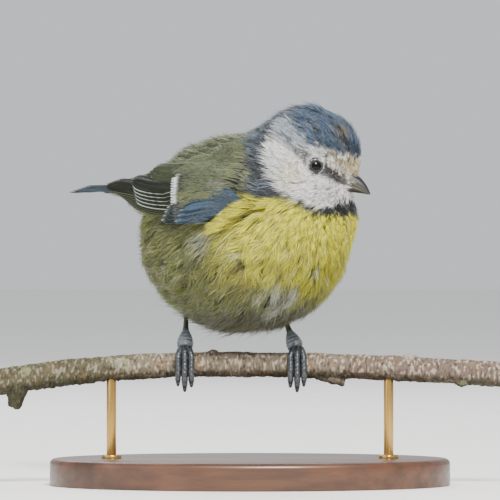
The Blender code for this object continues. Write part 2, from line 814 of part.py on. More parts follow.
def twig_node():
    twig = twig_tube("perch_twig")
    knobs = []
    low = twig_middle(-60 * MM)
    stub = [low, low + np.array([-0.6, 0.2, -4.0]) * MM, low + np.array([-1.2, 0.4, -7.6]) * MM]
    knobs.append(add_object("knob", tube(stub, [3.6 * MM, 2.6 * MM, 1.5 * MM], 10)))
    low = twig_middle(14 * MM)
    stub = [
        low + np.array([0, 0, -1.2]) * MM,
        low + np.array([6.0, -0.3, -3.0]) * MM,
        low + np.array([10.5, -0.5, -4.6]) * MM,
    ]
    knobs.append(add_object("knob", tube(stub, [1.2 * MM, 1.5 * MM, 1.0 * MM], 8)))
    for along, turn, size in KNOTS:
        centre = round_twig(along * MM, turn, twig_radius(along * MM) - 0.5 * size * MM)
        radii = np.array([1.5, 1.1, 1.0]) * size * MM
        knobs.append(ellipsoid("knob", centre, radii, np.eye(3), 10, 7))
    combine(twig, knobs, "UNION")
    return combine(twig, [rod_shape("hole", x, GAP, GAP) for x in ROD_PLACES], "DIFFERENCE")


# Display stand


def rod_shape(name, along, wider=0.0, deeper=0.0):
    middle = twig_middle(along)
    top = middle[2] - twig_radius(along) + ROD_SINK + deeper
    bottom = BASE_SIZE[2] - ROD_SINK - deeper
    bm = bmesh.new()
    bmesh.ops.create_cone(
        bm,
        cap_ends=True,
        segments=16,
        radius1=ROD_RADIUS + wider,
        radius2=ROD_RADIUS + wider,
        depth=top - bottom,
    )
    bmesh.ops.translate(bm, verts=bm.verts, vec=(along, middle[1], (top + bottom) / 2))
    return add_object(name, bm)


def base_node():
    bm = bmesh.new()
    bmesh.ops.create_cone(bm, cap_ends=True, segments=44, radius1=0.5, radius2=0.5, depth=1)
    bmesh.ops.scale(bm, vec=Vector(BASE_SIZE), verts=bm.verts)
    bmesh.ops.translate(bm, verts=bm.verts, vec=(0, 0, BASE_SIZE[2] / 2))
    rim = [
        edge
        for edge in bm.edges
        if all(vertex.co.z > BASE_SIZE[2] * 0.9 for vertex in edge.verts)
    ]
    bmesh.ops.bevel(
        bm, geom=rim, offset=BASE_ROUNDING, segments=2, profile=0.5, affect="EDGES", material=-1
    )
    made = add_object("stand_base", bm)
    return combine(made, [rod_shape("hole", x, GAP, GAP) for x in ROD_PLACES], "DIFFERENCE")


def clear_scene():
    for item in list(bpy.data.objects):
        bpy.data.objects.remove(item)


def main():
    clear_scene()
    olive = finish("olive_plumage", (0.30, 0.33, 0.20), 0.85)
    white = finish("white_plumage", (0.80, 0.80, 0.80), 0.85)
    yellow = finish("yellow_plumage", (0.72, 0.62, 0.16), 0.85)
    blue = finish("blue_feathers", (0.16, 0.24, 0.36), 0.6)
    slate = finish("blue_grey_skin", (0.20, 0.25, 0.33), 0.45)
    horn = finish("dark_horn", (0.06, 0.06, 0.06), 0.35)
    glass = finish("dark_eye", (0.02, 0.012, 0.008), 0.05)
    bark = finish("bark", (0.34, 0.27, 0.20), 0.9)
    wood = finish("stained_wood", (0.16, 0.09, 0.05), 0.45)
    brass = finish("brass", (0.72, 0.55, 0.28), 0.3, 1.0)

    torso = torso_node()
    legs = {foot: leg_node(foot) for foot in FOOT_PLACES}
    combine(torso, [leg_socket(foot) for foot in FOOT_PLACES], "DIFFERENCE")
    dress(torso, yellow)
    dress(neck_node(), white)
    dress(head_node(), white)
    dress(tail_node(), olive, smooth=False)
    for side, hand in (("left", 1), ("right", -1)):
        dress(eye_node("eye_" + side, hand), glass)
        dress(wing_node("wing_" + side, hand), blue, smooth=False)
        dress(legs[side], slate)
        dress(foot_node(side), slate)
        for toe_name, (path, radii) in toes_of(side).items():
            length = HIND_CLAW if toe_name == "hind" else FRONT_CLAW
            dress(claw_node("claw_%s_%s" % (side, toe_name), path, radii, length), horn)
    dress(bill_half("bill_upper", True), horn)
    dress(bill_half("bill_lower", False), horn)
    dress(twig_node(), bark)
    dress(base_node(), wood)
    for number, along in enumerate(ROD_PLACES, 1):
        dress(rod_shape("stand_rod_%d" % number, along), brass)


main()
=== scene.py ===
"""The looks of a blue tit on its twig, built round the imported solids.

Sizes are in metres in the solids' own frame. MM turns a size in millimetres into metres.
"""

import math

import bmesh
import bpy
import numpy as np
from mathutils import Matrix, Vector, interpolate, noise
from mathutils.bvhtree import BVHTree


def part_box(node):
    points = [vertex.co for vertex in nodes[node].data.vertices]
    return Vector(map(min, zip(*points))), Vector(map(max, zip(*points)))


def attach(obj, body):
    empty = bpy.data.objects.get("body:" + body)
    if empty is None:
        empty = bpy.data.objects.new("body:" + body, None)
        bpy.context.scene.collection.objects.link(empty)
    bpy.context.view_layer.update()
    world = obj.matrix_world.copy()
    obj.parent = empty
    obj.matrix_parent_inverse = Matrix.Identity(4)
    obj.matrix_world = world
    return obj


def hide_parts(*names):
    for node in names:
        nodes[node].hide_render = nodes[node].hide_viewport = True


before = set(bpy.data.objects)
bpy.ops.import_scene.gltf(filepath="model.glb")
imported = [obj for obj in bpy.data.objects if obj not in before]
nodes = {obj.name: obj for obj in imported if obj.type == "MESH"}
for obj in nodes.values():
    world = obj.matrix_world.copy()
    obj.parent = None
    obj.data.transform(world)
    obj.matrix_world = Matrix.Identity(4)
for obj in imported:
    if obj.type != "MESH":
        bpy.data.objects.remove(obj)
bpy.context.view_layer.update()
MM = 0.001

# Camera, floor and light
# The camera looks level along +Y at the height of the bird's belly, from far enough away for the
# photograph's flat perspective. The floor is a pale card, and three large soft lights hang over it.

VIEW_WIDTH = 129.9 * MM
VIEW_HEIGHT = 61.1 * MM
CAMERA_DISTANCE = 1.2
SENSOR_WIDTH = 36.0


def linear(red, green, blue):
    """A colour as it is seen, from 0 to 255, as the linear light that a shader takes."""
    shares = [value / 255 for value in (red, green, blue)]
    return tuple(s / 12.92 if s < 0.04 else ((s + 0.055) / 1.055) ** 2.4 for s in shares)


def add_object(name, mesh):
    made = bpy.data.objects.new(name, mesh)
    bpy.context.scene.collection.objects.link(made)
    return made


def from_bmesh(name, bm, smooth=True):
    mesh = bpy.data.meshes.new(name)
    bm.to_mesh(mesh)
    bm.free()
    for polygon in mesh.polygons:
        polygon.use_smooth = smooth
    return add_object(name, mesh)


class Finish:
    """A material with a Principled shader, and short ways to add nodes to it."""

    def __init__(self, name, roughness=0.5, **sockets):
        self.material = bpy.data.materials.new(name)
        self.material.use_nodes = True
        self.tree = self.material.node_tree
        self.shader = self.tree.nodes["Principled BSDF"]
        self.shader.inputs["Roughness"].default_value = roughness
        for socket, value in sockets.items():
            self.shader.inputs[socket.replace("_", " ")].default_value = value

    def node(self, kind, inputs=None, **settings):
        made = self.tree.nodes.new("ShaderNode" + kind)
        for setting, value in settings.items():
            setattr(made, setting, value)
        for socket, value in (inputs or {}).items():
            if isinstance(value, bpy.types.NodeSocket):
                self.tree.links.new(value, made.inputs[socket])
            else:
                made.inputs[socket].default_value = value
        return made

    def place(self, stretch=(1, 1, 1)):
        """Object coordinates, stretched."""
        coordinates = self.node("TexCoord").outputs["Object"]
        return self.node("Mapping", {"Vector": coordinates, "Scale": stretch}).outputs["Vector"]

    def grain(self, scale, detail=3.0, stretch=(1, 1, 1), roughness=0.55):
        """Noise from 0 to 1 with features about 1/scale metres across."""
        inputs = {"Vector": self.place(stretch), "Scale": scale, "Detail": detail, "Roughness": roughness}
        return self.node("TexNoise", inputs).outputs["Fac"]

    def ramp(self, factor, *stops):
        """Colours or grey values at places from 0 to 1."""
        made = self.node("ValToRGB", {"Fac": factor})
        elements = made.color_ramp.elements
        while len(elements) < len(stops):
            elements.new(1.0)
        for element, (place, colour) in zip(elements, stops):
            element.position = place
            element.color = (*colour, 1) if isinstance(colour, tuple) else (colour, colour, colour, 1)
        return made.outputs["Color"]

    def mixed(self, factor, first, second, blend="MIX"):
        made = self.node("Mix", data_type="RGBA", blend_type=blend)
        for socket, value in ((0, factor), (6, first), (7, second)):
            if isinstance(value, bpy.types.NodeSocket):
                self.tree.links.new(value, made.inputs[socket])
            else:
                made.inputs[socket].default_value = (*value, 1) if isinstance(value, tuple) else value
        return made.outputs[2]

    def colour(self, socket):
        self.tree.links.new(socket, self.shader.inputs["Base Color"])

    def rough(self, socket):
        self.tree.links.new(socket, self.shader.inputs["Roughness"])

    def bump(self, height, depth, strength=0.6):
        """Relief whose height map from 0 to 1 stands for a depth in metres."""
        inputs = {"Height": height, "Distance": depth, "Strength": strength}
        relief = self.node("Bump", inputs).outputs["Normal"]
        self.tree.links.new(relief, self.shader.inputs["Normal"])


def dress(piece, finish):
    piece.data.materials.clear()
    piece.data.materials.append(finish.material)
    return piece


camera = bpy.data.objects.new("camera", bpy.data.cameras.new("camera"))
camera.data.sensor_width = SENSOR_WIDTH
camera.data.lens = SENSOR_WIDTH * CAMERA_DISTANCE / VIEW_WIDTH
camera.location = (0, -CAMERA_DISTANCE, VIEW_HEIGHT)
camera.rotation_euler = (math.radians(90), 0, 0)
bpy.context.scene.collection.objects.link(camera)
bpy.context.scene.camera = camera

floor_bm = bmesh.new()
bmesh.ops.create_circle(floor_bm, cap_ends=True, segments=96, radius=6.0)
floor = from_bmesh("floor", floor_bm, smooth=False)
card = Finish("pale_card", 0.95)
card.colour(card.ramp(card.grain(60), (0.3, linear(244, 243, 240)), (0.7, linear(249, 248, 246))))
dress(floor, card)

# Each light: where it hangs, its width, its power and its colour
LIGHTS = {
    "key_light": ((0.15, -0.79, 0.81), 0.3, 26.0, (1.0, 0.965, 0.91)),
    "fill_light": ((-0.8, -0.55, 0.45), 0.8, 3.0, (0.9, 0.95, 1.0)),
    "rim_light": ((-0.15, 0.7, 0.7), 0.5, 5.0, (0.93, 0.97, 1.0)),
}
for light_name, (place, width, power, light_colour) in LIGHTS.items():
    lamp = bpy.data.lights.new(light_name, "AREA")
    lamp.size = width
    lamp.energy = power
    lamp.color = light_colour
    light = bpy.data.objects.new(light_name, lamp)
    light.location = place
    aim = Vector((0, 0, 65 * MM)) - Vector(place)
    light.rotation_euler = aim.to_track_quat("-Z", "Y").to_euler()
    bpy.context.scene.collection.objects.link(light)
world = bpy.data.worlds.new("pale_room")
world.use_nodes = True
world.node_tree.nodes["Background"].inputs["Color"].default_value = (*linear(214, 217, 220), 1)
world.node_tree.nodes["Background"].inputs["Strength"].default_value = 1.05
bpy.context.scene.world = world

# Stand: base
# An oval base of stained hardwood with a rounded rim. It stands on the floor and carries two rods.

BASE_ROUNDING = 1.4 * MM
FOOT_ROUNDING = 0.4 * MM


def rounded(bm, edges, offset, segments):
    bmesh.ops.bevel(
        bm, geom=edges, offset=offset, segments=segments, profile=0.5, affect="EDGES", material=-1
    )


base_low, base_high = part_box("stand_base")
base_size = base_high - base_low
base_bm = bmesh.new()
bmesh.ops.create_circle(base_bm, cap_ends=True, segments=160, radius=0.5)
bmesh.ops.scale(base_bm, vec=base_size, verts=base_bm.verts)
raised = bmesh.ops.extrude_face_region(base_bm, geom=base_bm.faces[:], use_keep_orig=True)["geom"]
top = [item for item in raised if isinstance(item, bmesh.types.BMVert)]
bmesh.ops.translate(base_bm, verts=top, vec=(0, 0, base_size.z))
bmesh.ops.recalc_face_normals(base_bm, faces=base_bm.faces)
for height, offset, segments in ((base_size.z, BASE_ROUNDING, 6), (0.0, FOOT_ROUNDING, 2)):
    rim = [edge for edge in base_bm.edges if all(abs(vertex.co.z - height) < 1e-6 for vertex in edge.verts)]
    rounded(base_bm, rim, offset, segments)
base = from_bmesh("oval_base", base_bm)
base.data.set_sharp_from_angle(angle=math.radians(35))
wood = Finish("stained_wood", 0.38, Coat_Weight=0.25, Coat_Roughness=0.2)
fibre = wood.grain(420, 6.0, (0.05, 1, 1), 0.6)
rings = wood.grain(90, 2.0, (0.12, 1, 0.6))
stain = wood.ramp(rings, (0.35, linear(70, 42, 26)), (0.5, linear(96, 60, 38)), (0.65, linear(78, 48, 30)))
wood.colour(wood.mixed(wood.ramp(fibre, (0.35, 0.0), (0.7, 0.65)), stain, linear(44, 27, 18)))
wood.rough(wood.ramp(fibre, (0.3, 0.3), (0.8, 0.5)))
wood.bump(fibre, 0.06 * MM, 0.5)
dress(base, wood)
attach(base, "root")
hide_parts("stand_base")

# Stand: rods
# Two slim brass rods, each let into the base through a small turned collar and into the twig above.

COLLAR_RADIUS = 2.6 * MM
COLLAR_HEIGHT = 0.9 * MM
brass = Finish("brass", 0.26, Metallic=1.0)
polish = brass.grain(900, 3.0, (1, 1, 0.04))
brass.colour(brass.ramp(polish, (0.3, linear(176, 138, 74)), (0.7, linear(206, 168, 98))))
brass.rough(brass.ramp(polish, (0.3, 0.2), (0.7, 0.34)))
brass.bump(polish, 0.01 * MM, 0.4)


def turned(name, middle, low, high, radius, edge):
    """A round brass part standing upright, its two rims rounded."""
    bm = bmesh.new()
    bmesh.ops.create_cone(bm, cap_ends=True, segments=48, radius1=radius, radius2=radius, depth=high - low)
    rims = [item for item in bm.edges if abs(item.verts[0].co.z - item.verts[1].co.z) < 1e-7]
    rounded(bm, rims, edge, 3)
    bmesh.ops.translate(bm, verts=bm.verts, vec=(middle.x, middle.y, (low + high) / 2))
    made = from_bmesh(name, bm)
    made.data.set_sharp_from_angle(angle=math.radians(40))
    dress(made, brass)
    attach(made, "root")
    return made


for number in ("1", "2"):
    low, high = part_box("stand_rod_" + number)
    middle = (low + high) / 2
    rod = turned("brass_rod_" + number, middle, low.z, high.z, (high.x - low.x) / 2, 0.1 * MM)
    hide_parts("stand_rod_" + number)
    turned("rod_collar_" + number, middle, base_size.z - 0.3 * MM, base_size.z + COLLAR_HEIGHT, COLLAR_RADIUS, 0.3 * MM)

# Twig
# A short cut length of the twig, its bark cut by fine cracks that run round it, pinkish brown on top and green with
# algae below. A pale bud, knots and crusts of lichen stand on it, and its two ends are sawn.

TWIG_TOP_PLACE = -8.0
TWIG_HEIGHT = 31.4
TWIG_DROP_LEFT = 0.00138
TWIG_DROP_RIGHT = 0.00049
TWIG_BOW = 0.00035
TWIG_STRAIGHT = 20.0
TWIG_RADIUS = 3.25
TWIG_END = 69.0
BARK_VOXEL = 0.24 * MM
BARK_TOP = linear(114, 102, 86)
BARK_PINK = linear(104, 89, 78)
BARK_GREY = linear(78, 73, 52)
BARK_GREEN = linear(58, 61, 38)
BARK_CRACK = linear(56, 48, 38)
BARK_LENTICEL = linear(190, 178, 162)
BARK_RUST = linear(130, 92, 56)
LICHEN = linear(150, 151, 132)
LICHEN_GREEN = linear(122, 126, 92)
SAWN = linear(196, 172, 128)


def twig_middle(along):
    """The twig's centre line at places along X, in millimetres: a low arch that bows to the front at its ends."""
    past = np.asarray(along, float) - TWIG_TOP_PLACE
    drop = np.where(past < 0, TWIG_DROP_LEFT, TWIG_DROP_RIGHT) * past ** 2
    bow = TWIG_BOW * np.maximum(0, np.abs(along) - TWIG_STRAIGHT) ** 2
    return np.stack([past + TWIG_TOP_PLACE, -bow, TWIG_HEIGHT - drop], axis=-1)


def twig_radius(along):
    return TWIG_RADIUS + 0.004 * np.maximum(0.0, -np.asarray(along, float) - TWIG_STRAIGHT)


def units(vectors):
    return vectors / np.maximum(np.linalg.norm(vectors, axis=-1, keepdims=True), 1e-12)


def eased(value, start, end):
    """Goes smoothly from 0 at the start to 1 at the end."""
    s = np.clip((value - start) / (end - start), 0, 1)
    return s * s * (3 - 2 * s)


def blend(colours, weight, colour):
    return colours + (np.array(colour) - colours) * weight[:, None]


def ripple(points, size, shift=0.0, stretch=(1, 1, 1)):
    """Smooth noise from about -1 to 1 whose waves are about a size in millimetres long."""
    scaled = np.asarray(points) / (size * MM) / np.array(stretch) + shift
    return np.array([noise.noise(point) for point in scaled.tolist()])


def numbers(items, attribute, width=3):
    found = np.empty(len(items) * width, np.float32)
    items.foreach_get(attribute, found)
    return found.reshape(-1, width).astype(float) if width > 1 else found.astype(float)


def move_points(piece, places):
    piece.data.vertices.foreach_set("co", places.astype(np.float32).ravel())
    piece.data.update()


def tint(piece, colours, uvs=None):
    """Gives each vertex its colour and, where given, its place on the unwrap."""
    attribute = piece.data.color_attributes.new("Tint", "FLOAT_COLOR", "POINT")
    rows = np.column_stack([np.clip(colours, 0.003, 0.97), np.ones(len(colours))])
    attribute.data.foreach_set("color", rows.astype(np.float32).ravel())
    if uvs is not None:
        layer = piece.data.uv_layers.new(name="OFBake")
        corners = numbers(piece.data.loops, "vertex_index", 1).astype(int)
        layer.uv.foreach_set("vector", uvs[corners].astype(np.float32).ravel())


def recast(name, bm, swell, voxel, smoothing):
    """One even closed mesh round everything in a bmesh."""
    rough = from_bmesh(name, bm)
    grow = rough.modifiers.new("grow", "DISPLACE")
    grow.strength = swell
    grow.mid_level = 0.0
    weld = rough.modifiers.new("weld", "REMESH")
    weld.mode = "VOXEL"
    weld.voxel_size = voxel
    weld.use_smooth_shade = True
    relax = rough.modifiers.new("relax", "SMOOTH")
    relax.iterations = smoothing
    bpy.context.view_layer.update()
    even = bpy.data.meshes.new_from_object(rough.evaluated_get(bpy.context.evaluated_depsgraph_get()))
    bpy.data.objects.remove(rough)
    even.name = name
    return add_object(name, even)


twig_bm = bmesh.new()
twig_bm.from_mesh(nodes["perch_twig"].data)
bmesh.ops.remove_doubles(twig_bm, verts=twig_bm.verts, dist=1e-6)
twig = recast("twig", twig_bm, 0.02 * MM, BARK_VOXEL, 6)
places = numbers(twig.data.vertices, "co")
normals = numbers(twig.data.vertices, "normal")
from_middle = places / MM - twig_middle(places[:, 0] / MM)
turn = np.arctan2(-from_middle[:, 1], from_middle[:, 2])
along = places[:, 0] / MM
below = eased(-np.cos(turn), 0.1, 0.8)
sawn = eased(np.abs(normals[:, 0]), 0.75, 0.9) * (np.abs(along) > TWIG_END - 0.6)
bark = ripple(places, 0.5, 0, (1, 2.4, 2.4)) * 0.1 + ripple(places, 1.6, 5, (1, 1.8, 1.8)) * 0.14
lumps = ripple(places, 5.0, 9) * 0.16
crack = eased(ripple(places, 0.62, 13, (1, 2.0, 2.0)), 0.22, 0.42)
lenticel = eased(ripple(places, 0.6, 43, (1, 2.2, 2.2)), 0.14, 0.34)
rough_left = 1 - eased(along, -45, -20)
scaly = eased(ripple(places, 1.3, 21), 0.05, 0.3) * (0.35 * below + 0.3 * rough_left)
relief = (bark + lumps - 0.12 * crack + 0.07 * lenticel + 0.3 * scaly) * (1 - sawn)
move_points(twig, places + normals * (relief * MM)[:, None])
tone = np.tile(np.array(BARK_TOP), (len(places), 1))
tone = blend(tone, eased(along + 8 * ripple(places, 12, 3), 10, 30), BARK_PINK)
tone = blend(tone, rough_left, BARK_GREY)
tone = blend(tone, 0.75 * below * eased(ripple(places, 2.5, 31) + 0.5, 0, 0.7), BARK_GREEN)
tone = blend(tone, 0.25 * eased(ripple(places, 3.0, 17), 0.25, 0.5), BARK_RUST)
tone = blend(tone, 0.55 * lenticel * (1 - 0.8 * below) * (1 - 0.5 * rough_left), BARK_LENTICEL)
tone = blend(tone, 0.7 * crack, BARK_CRACK)
# Painted shade: the bark darkens towards the underside, away from the light above.
tone = tone * (1 - 0.35 * below)[:, None]
# Crusts of lichen: place along the twig, turn from the top towards the front in degrees, and size
LICHENS = (
    (41.5, 12, 2.0), (-34.0, 70, 1.9), (-31.5, 92, 1.3), (-36.5, 45, 1.2), (55.0, 150, 1.4), (24.0, 40, 0.8),
    (-32.5, 60, 1.0), (-58, 60, 1.5),
)
for spot, angle, size in LICHENS:
    far = np.hypot(along - spot, (turn - math.radians(angle)) * TWIG_RADIUS)
    crust = 1 - eased(far + 1.1 * ripple(places, 0.9, spot), size * 0.55, size)
    tone = blend(tone, 0.75 * crust, LICHEN if size > 1.6 else LICHEN_GREEN)
tone = blend(tone, sawn, SAWN)
tint(twig, tone)
bark_finish = Finish("bark", 0.86, Specular_IOR_Level=0.3)
bark_tint = bark_finish.node("VertexColor", layer_name="Tint").outputs["Color"]
bark_grain = bark_finish.grain(2600, 5.0, (1, 0.35, 0.35), 0.65)
bark_shade = bark_finish.ramp(bark_grain, (0.3, 0.5), (0.52, 0.95), (0.72, 1.25))
bark_finish.colour(bark_finish.mixed(1.0, bark_tint, bark_shade, "MULTIPLY"))
bark_finish.rough(bark_finish.ramp(bark_grain, (0.3, 0.95), (0.7, 0.72)))
bark_finish.bump(bark_grain, 0.12 * MM, 0.7)
dress(twig, bark_finish)
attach(twig, "root")
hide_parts("perch_twig")

# Feet and legs
# Slate-blue scaled skin. Each toe is a row of hard scutes that bends over the twig to a dark claw, and
# the slim upright shaft of the leg goes up into the belly's feathers.

FEET = {"right": -16.9, "left": 12.2}
ANKLES = {"right": np.array([-16.4, 6.0, 50.6]), "left": np.array([6.6, 5.2, 49.6])}
TOE_RADIUS = 0.86
TOE_CLEARANCE = 0.35
# The leg from the twig's top up: distance in millimetres and radius
SHAFT_PROFILE = np.array([(0, 0.2), (0.3, 1.3), (1.0, 2.0), (2.0, 2.2), (3.3, 1.95), (4.6, 1.45), (5.6, 0.9), (6.8, 0.7), (9, 0.64), (18, 0.7)])
# Each toe: sideways place, first and last turn over the twig in degrees, droop below it, scutes, size
TOES = {
    "inner": (-1.74, 10, 134, 3.0, 10, 1.0),
    "middle": (0.0, 6, 142, 3.9, 12, 1.02),
    "outer": (1.74, 10, 136, 3.2, 11, 1.0),
    "hind": (0.15, -8, -128, 0.9, 7, 1.15),
}
SLATE_SKIN = linear(40, 46, 50)
SLATE_EDGE = linear(78, 86, 92)
SLATE_DARK = linear(24, 27, 30)
JOINT_BROWN = linear(84, 64, 50)
ANKLE_GREY = linear(108, 116, 122)
# The leg's upper shaft: partly its own olive tone, partly painted shade under the belly's feathers.
SHADED_SHAFT_OLIVE = linear(40, 43, 26)
CLAW_DARK = linear(38, 35, 31)


def drawn_out(bm, path, radii, segments, first_up=(0, 0, 1), flat=1.0):
    """A closed round solid along a path in millimetres. Radii are one a station, or a row of them round
    it. Gives back the headings, and each vertex's station."""
    path = np.asarray(path, float)
    heads = units(np.gradient(path, axis=0))
    side = units(np.cross(np.array(first_up, float), heads[0]))
    radii = np.asarray(radii, float)
    radii = radii[:, None] * np.ones(segments) if radii.ndim == 1 else radii
    turns = np.arange(segments) * 2 * math.pi / segments
    rings = []
    for point, heading, row in zip(path, heads, radii):
        side = units(side - heading * (side @ heading))
        up = np.cross(heading, side)
        rings.append(point + row[:, None] * (np.cos(turns)[:, None] * side + flat * np.sin(turns)[:, None] * up))
    made = bmesh.ops.create_uvsphere(bm, u_segments=segments, v_segments=len(path) - 1, radius=1)["verts"]
    at = []
    for vertex in made:
        station = round(math.acos(max(-1, min(1, vertex.co.z))) / math.pi * (len(path) - 1))
        at.append(station)
        if station in (0, len(path) - 1):
            vertex.co = Vector(path[station] * MM)
        else:
            turn = math.atan2(vertex.co.y, vertex.co.x) % (2 * math.pi)
            vertex.co = Vector(rings[station][round(turn / turns[1]) % segments] * MM)
    return heads, at


def round_twig(along, turn, reach):
    """A place near the twig, in millimetres: turn 0 is on top, 90 degrees in front and 180 below."""
    turn = np.radians(turn)
    out = np.stack([np.zeros_like(turn), -np.sin(turn), np.cos(turn)], axis=-1)
    return twig_middle(along) + out * np.reshape(reach, (-1, 1))


def toe_path(foot, toe, stations):
    place, first, last, droop, _, size = TOES[toe]
    hand = 1 if foot == "right" else -1
    s = np.linspace(0, 1, stations)
    turn = first + (last - first) * s
    aside = hand * place * (0.45 + 0.55 * np.minimum(1.0, s * 2.5))
    along = FEET[foot] + aside
    loose = np.maximum(0.0, (np.abs(turn) - 80) / 70)
    reach = twig_radius(along) + TOE_CLEARANCE + TOE_RADIUS * 1.1 * size + droop * loose ** 1.3
    return round_twig(along, turn, reach)


def scute_radii(stations, segments, count, thick, last):
    """Radii of a scaled toe: overlapping hard plates on top, a soft padded sole below."""
    s = np.linspace(0, 1, stations)[:, None]
    turns = np.arange(segments)[None] * 2 * math.pi / segments
    saw = (s * count) % 1.0
    groove = np.exp(-(np.minimum(saw, 1 - saw) / 0.1) ** 2)
    plate = 0.14 * (0.5 - saw) - 0.2 * groove
    pads = 0.10 * np.cos(2 * math.pi * s * count / 2.6)
    on_top = eased(np.sin(turns), -0.35, 0.25)
    radii = thick * (1 + (last - 1) * s) * (1 + plate * on_top + pads * (1 - on_top))
    radii = radii * np.minimum(1, 0.55 + 4 * s) * np.minimum(1, 0.7 + 3.6 * (1 - s))
    return radii, groove[:, 0]


foot_finish = Finish("scaled_skin", 0.3, Specular_IOR_Level=0.6)
foot_tint = foot_finish.node("VertexColor", layer_name="Tint").outputs["Color"]
foot_grain = foot_finish.grain(2200, 4.0)
foot_finish.colour(foot_finish.mixed(0.55, foot_tint, foot_finish.ramp(foot_grain, (0.3, 0.55), (0.7, 1.3)), "MULTIPLY"))
foot_finish.rough(foot_finish.ramp(foot_grain, (0.3, 0.26), (0.7, 0.42)))
foot_finish.bump(foot_grain, 0.03 * MM, 0.5)
claw_finish = Finish("claw_horn", 0.3, Specular_IOR_Level=0.6, Coat_Weight=0.15)
claw_grain = claw_finish.grain(1500, 3.0, (1, 1, 0.3))
claw_finish.colour(claw_finish.ramp(claw_grain, (0.3, CLAW_DARK), (0.75, linear(84, 76, 66))))
claw_finish.bump(claw_grain, 0.02 * MM, 0.4)

TOE_STATIONS = 89
TOE_SEGMENTS = 18
SHAFT_STATIONS = 81
for foot in FEET:
    foot_bm = bmesh.new()
    grooves = []
    for toe, (_, _, _, _, count, size) in TOES.items():
        path = toe_path(foot, toe, TOE_STATIONS)
        radii, groove = scute_radii(TOE_STATIONS, TOE_SEGMENTS, count, TOE_RADIUS * size, 0.9)
        heads, at = drawn_out(foot_bm, path, radii, TOE_SEGMENTS)
        grooves.append(groove[at])
        inward = units(twig_middle(path[-1, 0]) - path[-1])
        inward[0] = 0
        claw_length = 3.4 if toe == "hind" else 2.4
        bends = np.linspace(0, 1, 15)
        steps = heads[-1] * np.cos(0.75 * bends)[:, None] + inward * np.sin(0.75 * bends)[:, None]
        claw_path = path[-1] - heads[-1] * 0.5 + steps * (bends * (claw_length + 0.7))[:, None]
        claw_bm = bmesh.new()
        thick = radii[-6].mean() * 0.8 * (1 - bends) ** 0.7 + 0.03
        drawn_out(claw_bm, claw_path, thick, 14, (1, 0, 0))
        claw = from_bmesh("claw_horn_%s_%s" % (foot, toe), claw_bm)
        dress(claw, claw_finish)
        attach(claw, "root")
        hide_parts("claw_%s_%s" % (foot, toe))
    low = round_twig(np.array([FEET[foot]]), np.array([4.0]), twig_radius(FEET[foot]) + 0.4)[0]
    rise = units(ANKLES[foot] - low)
    up_leg = np.linspace(0, np.linalg.norm(ANKLES[foot] - low) * 0.95, SHAFT_STATIONS)
    shaft_path = low + rise * up_leg[:, None]
    wide = np.interp(up_leg, *SHAFT_PROFILE.T)
    wide[1:-1] = (wide[:-2] + 2 * wide[1:-1] + wide[2:]) / 4
    saw = (up_leg / 0.95) % 1.0
    groove = np.exp(-(np.minimum(saw, 1 - saw) / 0.1) ** 2)
    plate = 0.07 * (0.5 - saw) - 0.12 * groove
    turns = np.arange(24) * 2 * math.pi / 24
    radii = wide[:, None] * (1 + plate[:, None] * eased(-np.sin(turns), -0.5, 0.3)[None])
    _, at = drawn_out(foot_bm, shaft_path, radii, 24, (0, 1, 0), 0.8)
    grooves = np.concatenate(grooves + [0.5 * groove[at]])
    made = from_bmesh("scaled_foot_" + foot, foot_bm)
    places = numbers(made.data.vertices, "co")
    up_shaft = (places / MM - low) @ rise
    tone = np.tile(np.array(SLATE_SKIN), (len(places), 1))
    mottle = ripple(places, 0.8, 7)
    tone = blend(tone, 0.5 * eased(mottle, 0.1, 0.5), SLATE_EDGE)
    tone = blend(tone, 0.9 * eased(up_shaft, 0.6, 1.8), ANKLE_GREY)
    tone = blend(tone, 0.5 * eased(-mottle, 0.15, 0.5), SLATE_DARK)
    tone = blend(tone, 0.45 * eased(ripple(places, 0.7, 19), 0.3, 0.6), JOINT_BROWN)
    # Painted shade: the sunken grooves between the scutes are darkened.
    tone = blend(tone, 0.7 * grooves, SLATE_DARK)
    # Painted shade, partly the leg's own olive: the shaft goes dark where it rises under the belly.
    tone = blend(tone, eased(up_shaft, 5.0, 6.4), SHADED_SHAFT_OLIVE)
    tint(made, tone)
    dress(made, foot_finish)
    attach(made, "root")
    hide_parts("foot_" + foot, "leg_" + foot)

# Skin
# One closed skin for the head, neck, body and the tail's stump. It lies inside the plumage's
# outline by the depth of the feathers, and comes out to it round the eyes and the bill.

BODY_CENTRE = np.array([-0.3, 0.0, 65.8])
BODY_YAW = math.radians(-44)
HEAD_CENTRE = np.array([20.2, 2.0, 19.6])
HEAD_TURN = math.radians(22)
HEAD_NOD = math.radians(20)
EYE_PLACE = np.array([5.9, 10.2, -0.7])
BILL_ROOT = np.array([12.4, 0.0, -2.9])
SKIN_VOXEL = 0.75 * MM
SWELL = 0.3 * MM


def turned_axes(yaw, pitch):
    """Rows are the ahead, left and up axes after a turn to the left and a nod down."""
    ahead = np.array([
        math.cos(yaw) * math.cos(pitch),
        math.sin(yaw) * math.cos(pitch),
        -math.sin(pitch),
    ])
    left = np.array([-math.sin(yaw), math.cos(yaw), 0.0])
    return np.array([ahead, left, np.cross(ahead, left)])


BODY_AXES = turned_axes(BODY_YAW, 0.0)
HEAD_AXES = turned_axes(HEAD_TURN, HEAD_NOD)


def to_body(points):
    """World metres to the body's own (ahead, left, up) in millimetres."""
    return (np.asarray(points) / MM - BODY_CENTRE) @ BODY_AXES.T


def to_head(points):
    return (to_body(points) - HEAD_CENTRE) @ HEAD_AXES.T


def body_to_world(points):
    return (BODY_CENTRE + np.asarray(points) @ BODY_AXES) * MM


def head_to_world(points):
    return body_to_world(HEAD_CENTRE + np.asarray(points) @ HEAD_AXES)


def mirrored(points):
    """Head or body places with the left side folded onto the right."""
    folded = np.array(points, float)
    folded[:, 1] = np.abs(folded[:, 1])
    return folded


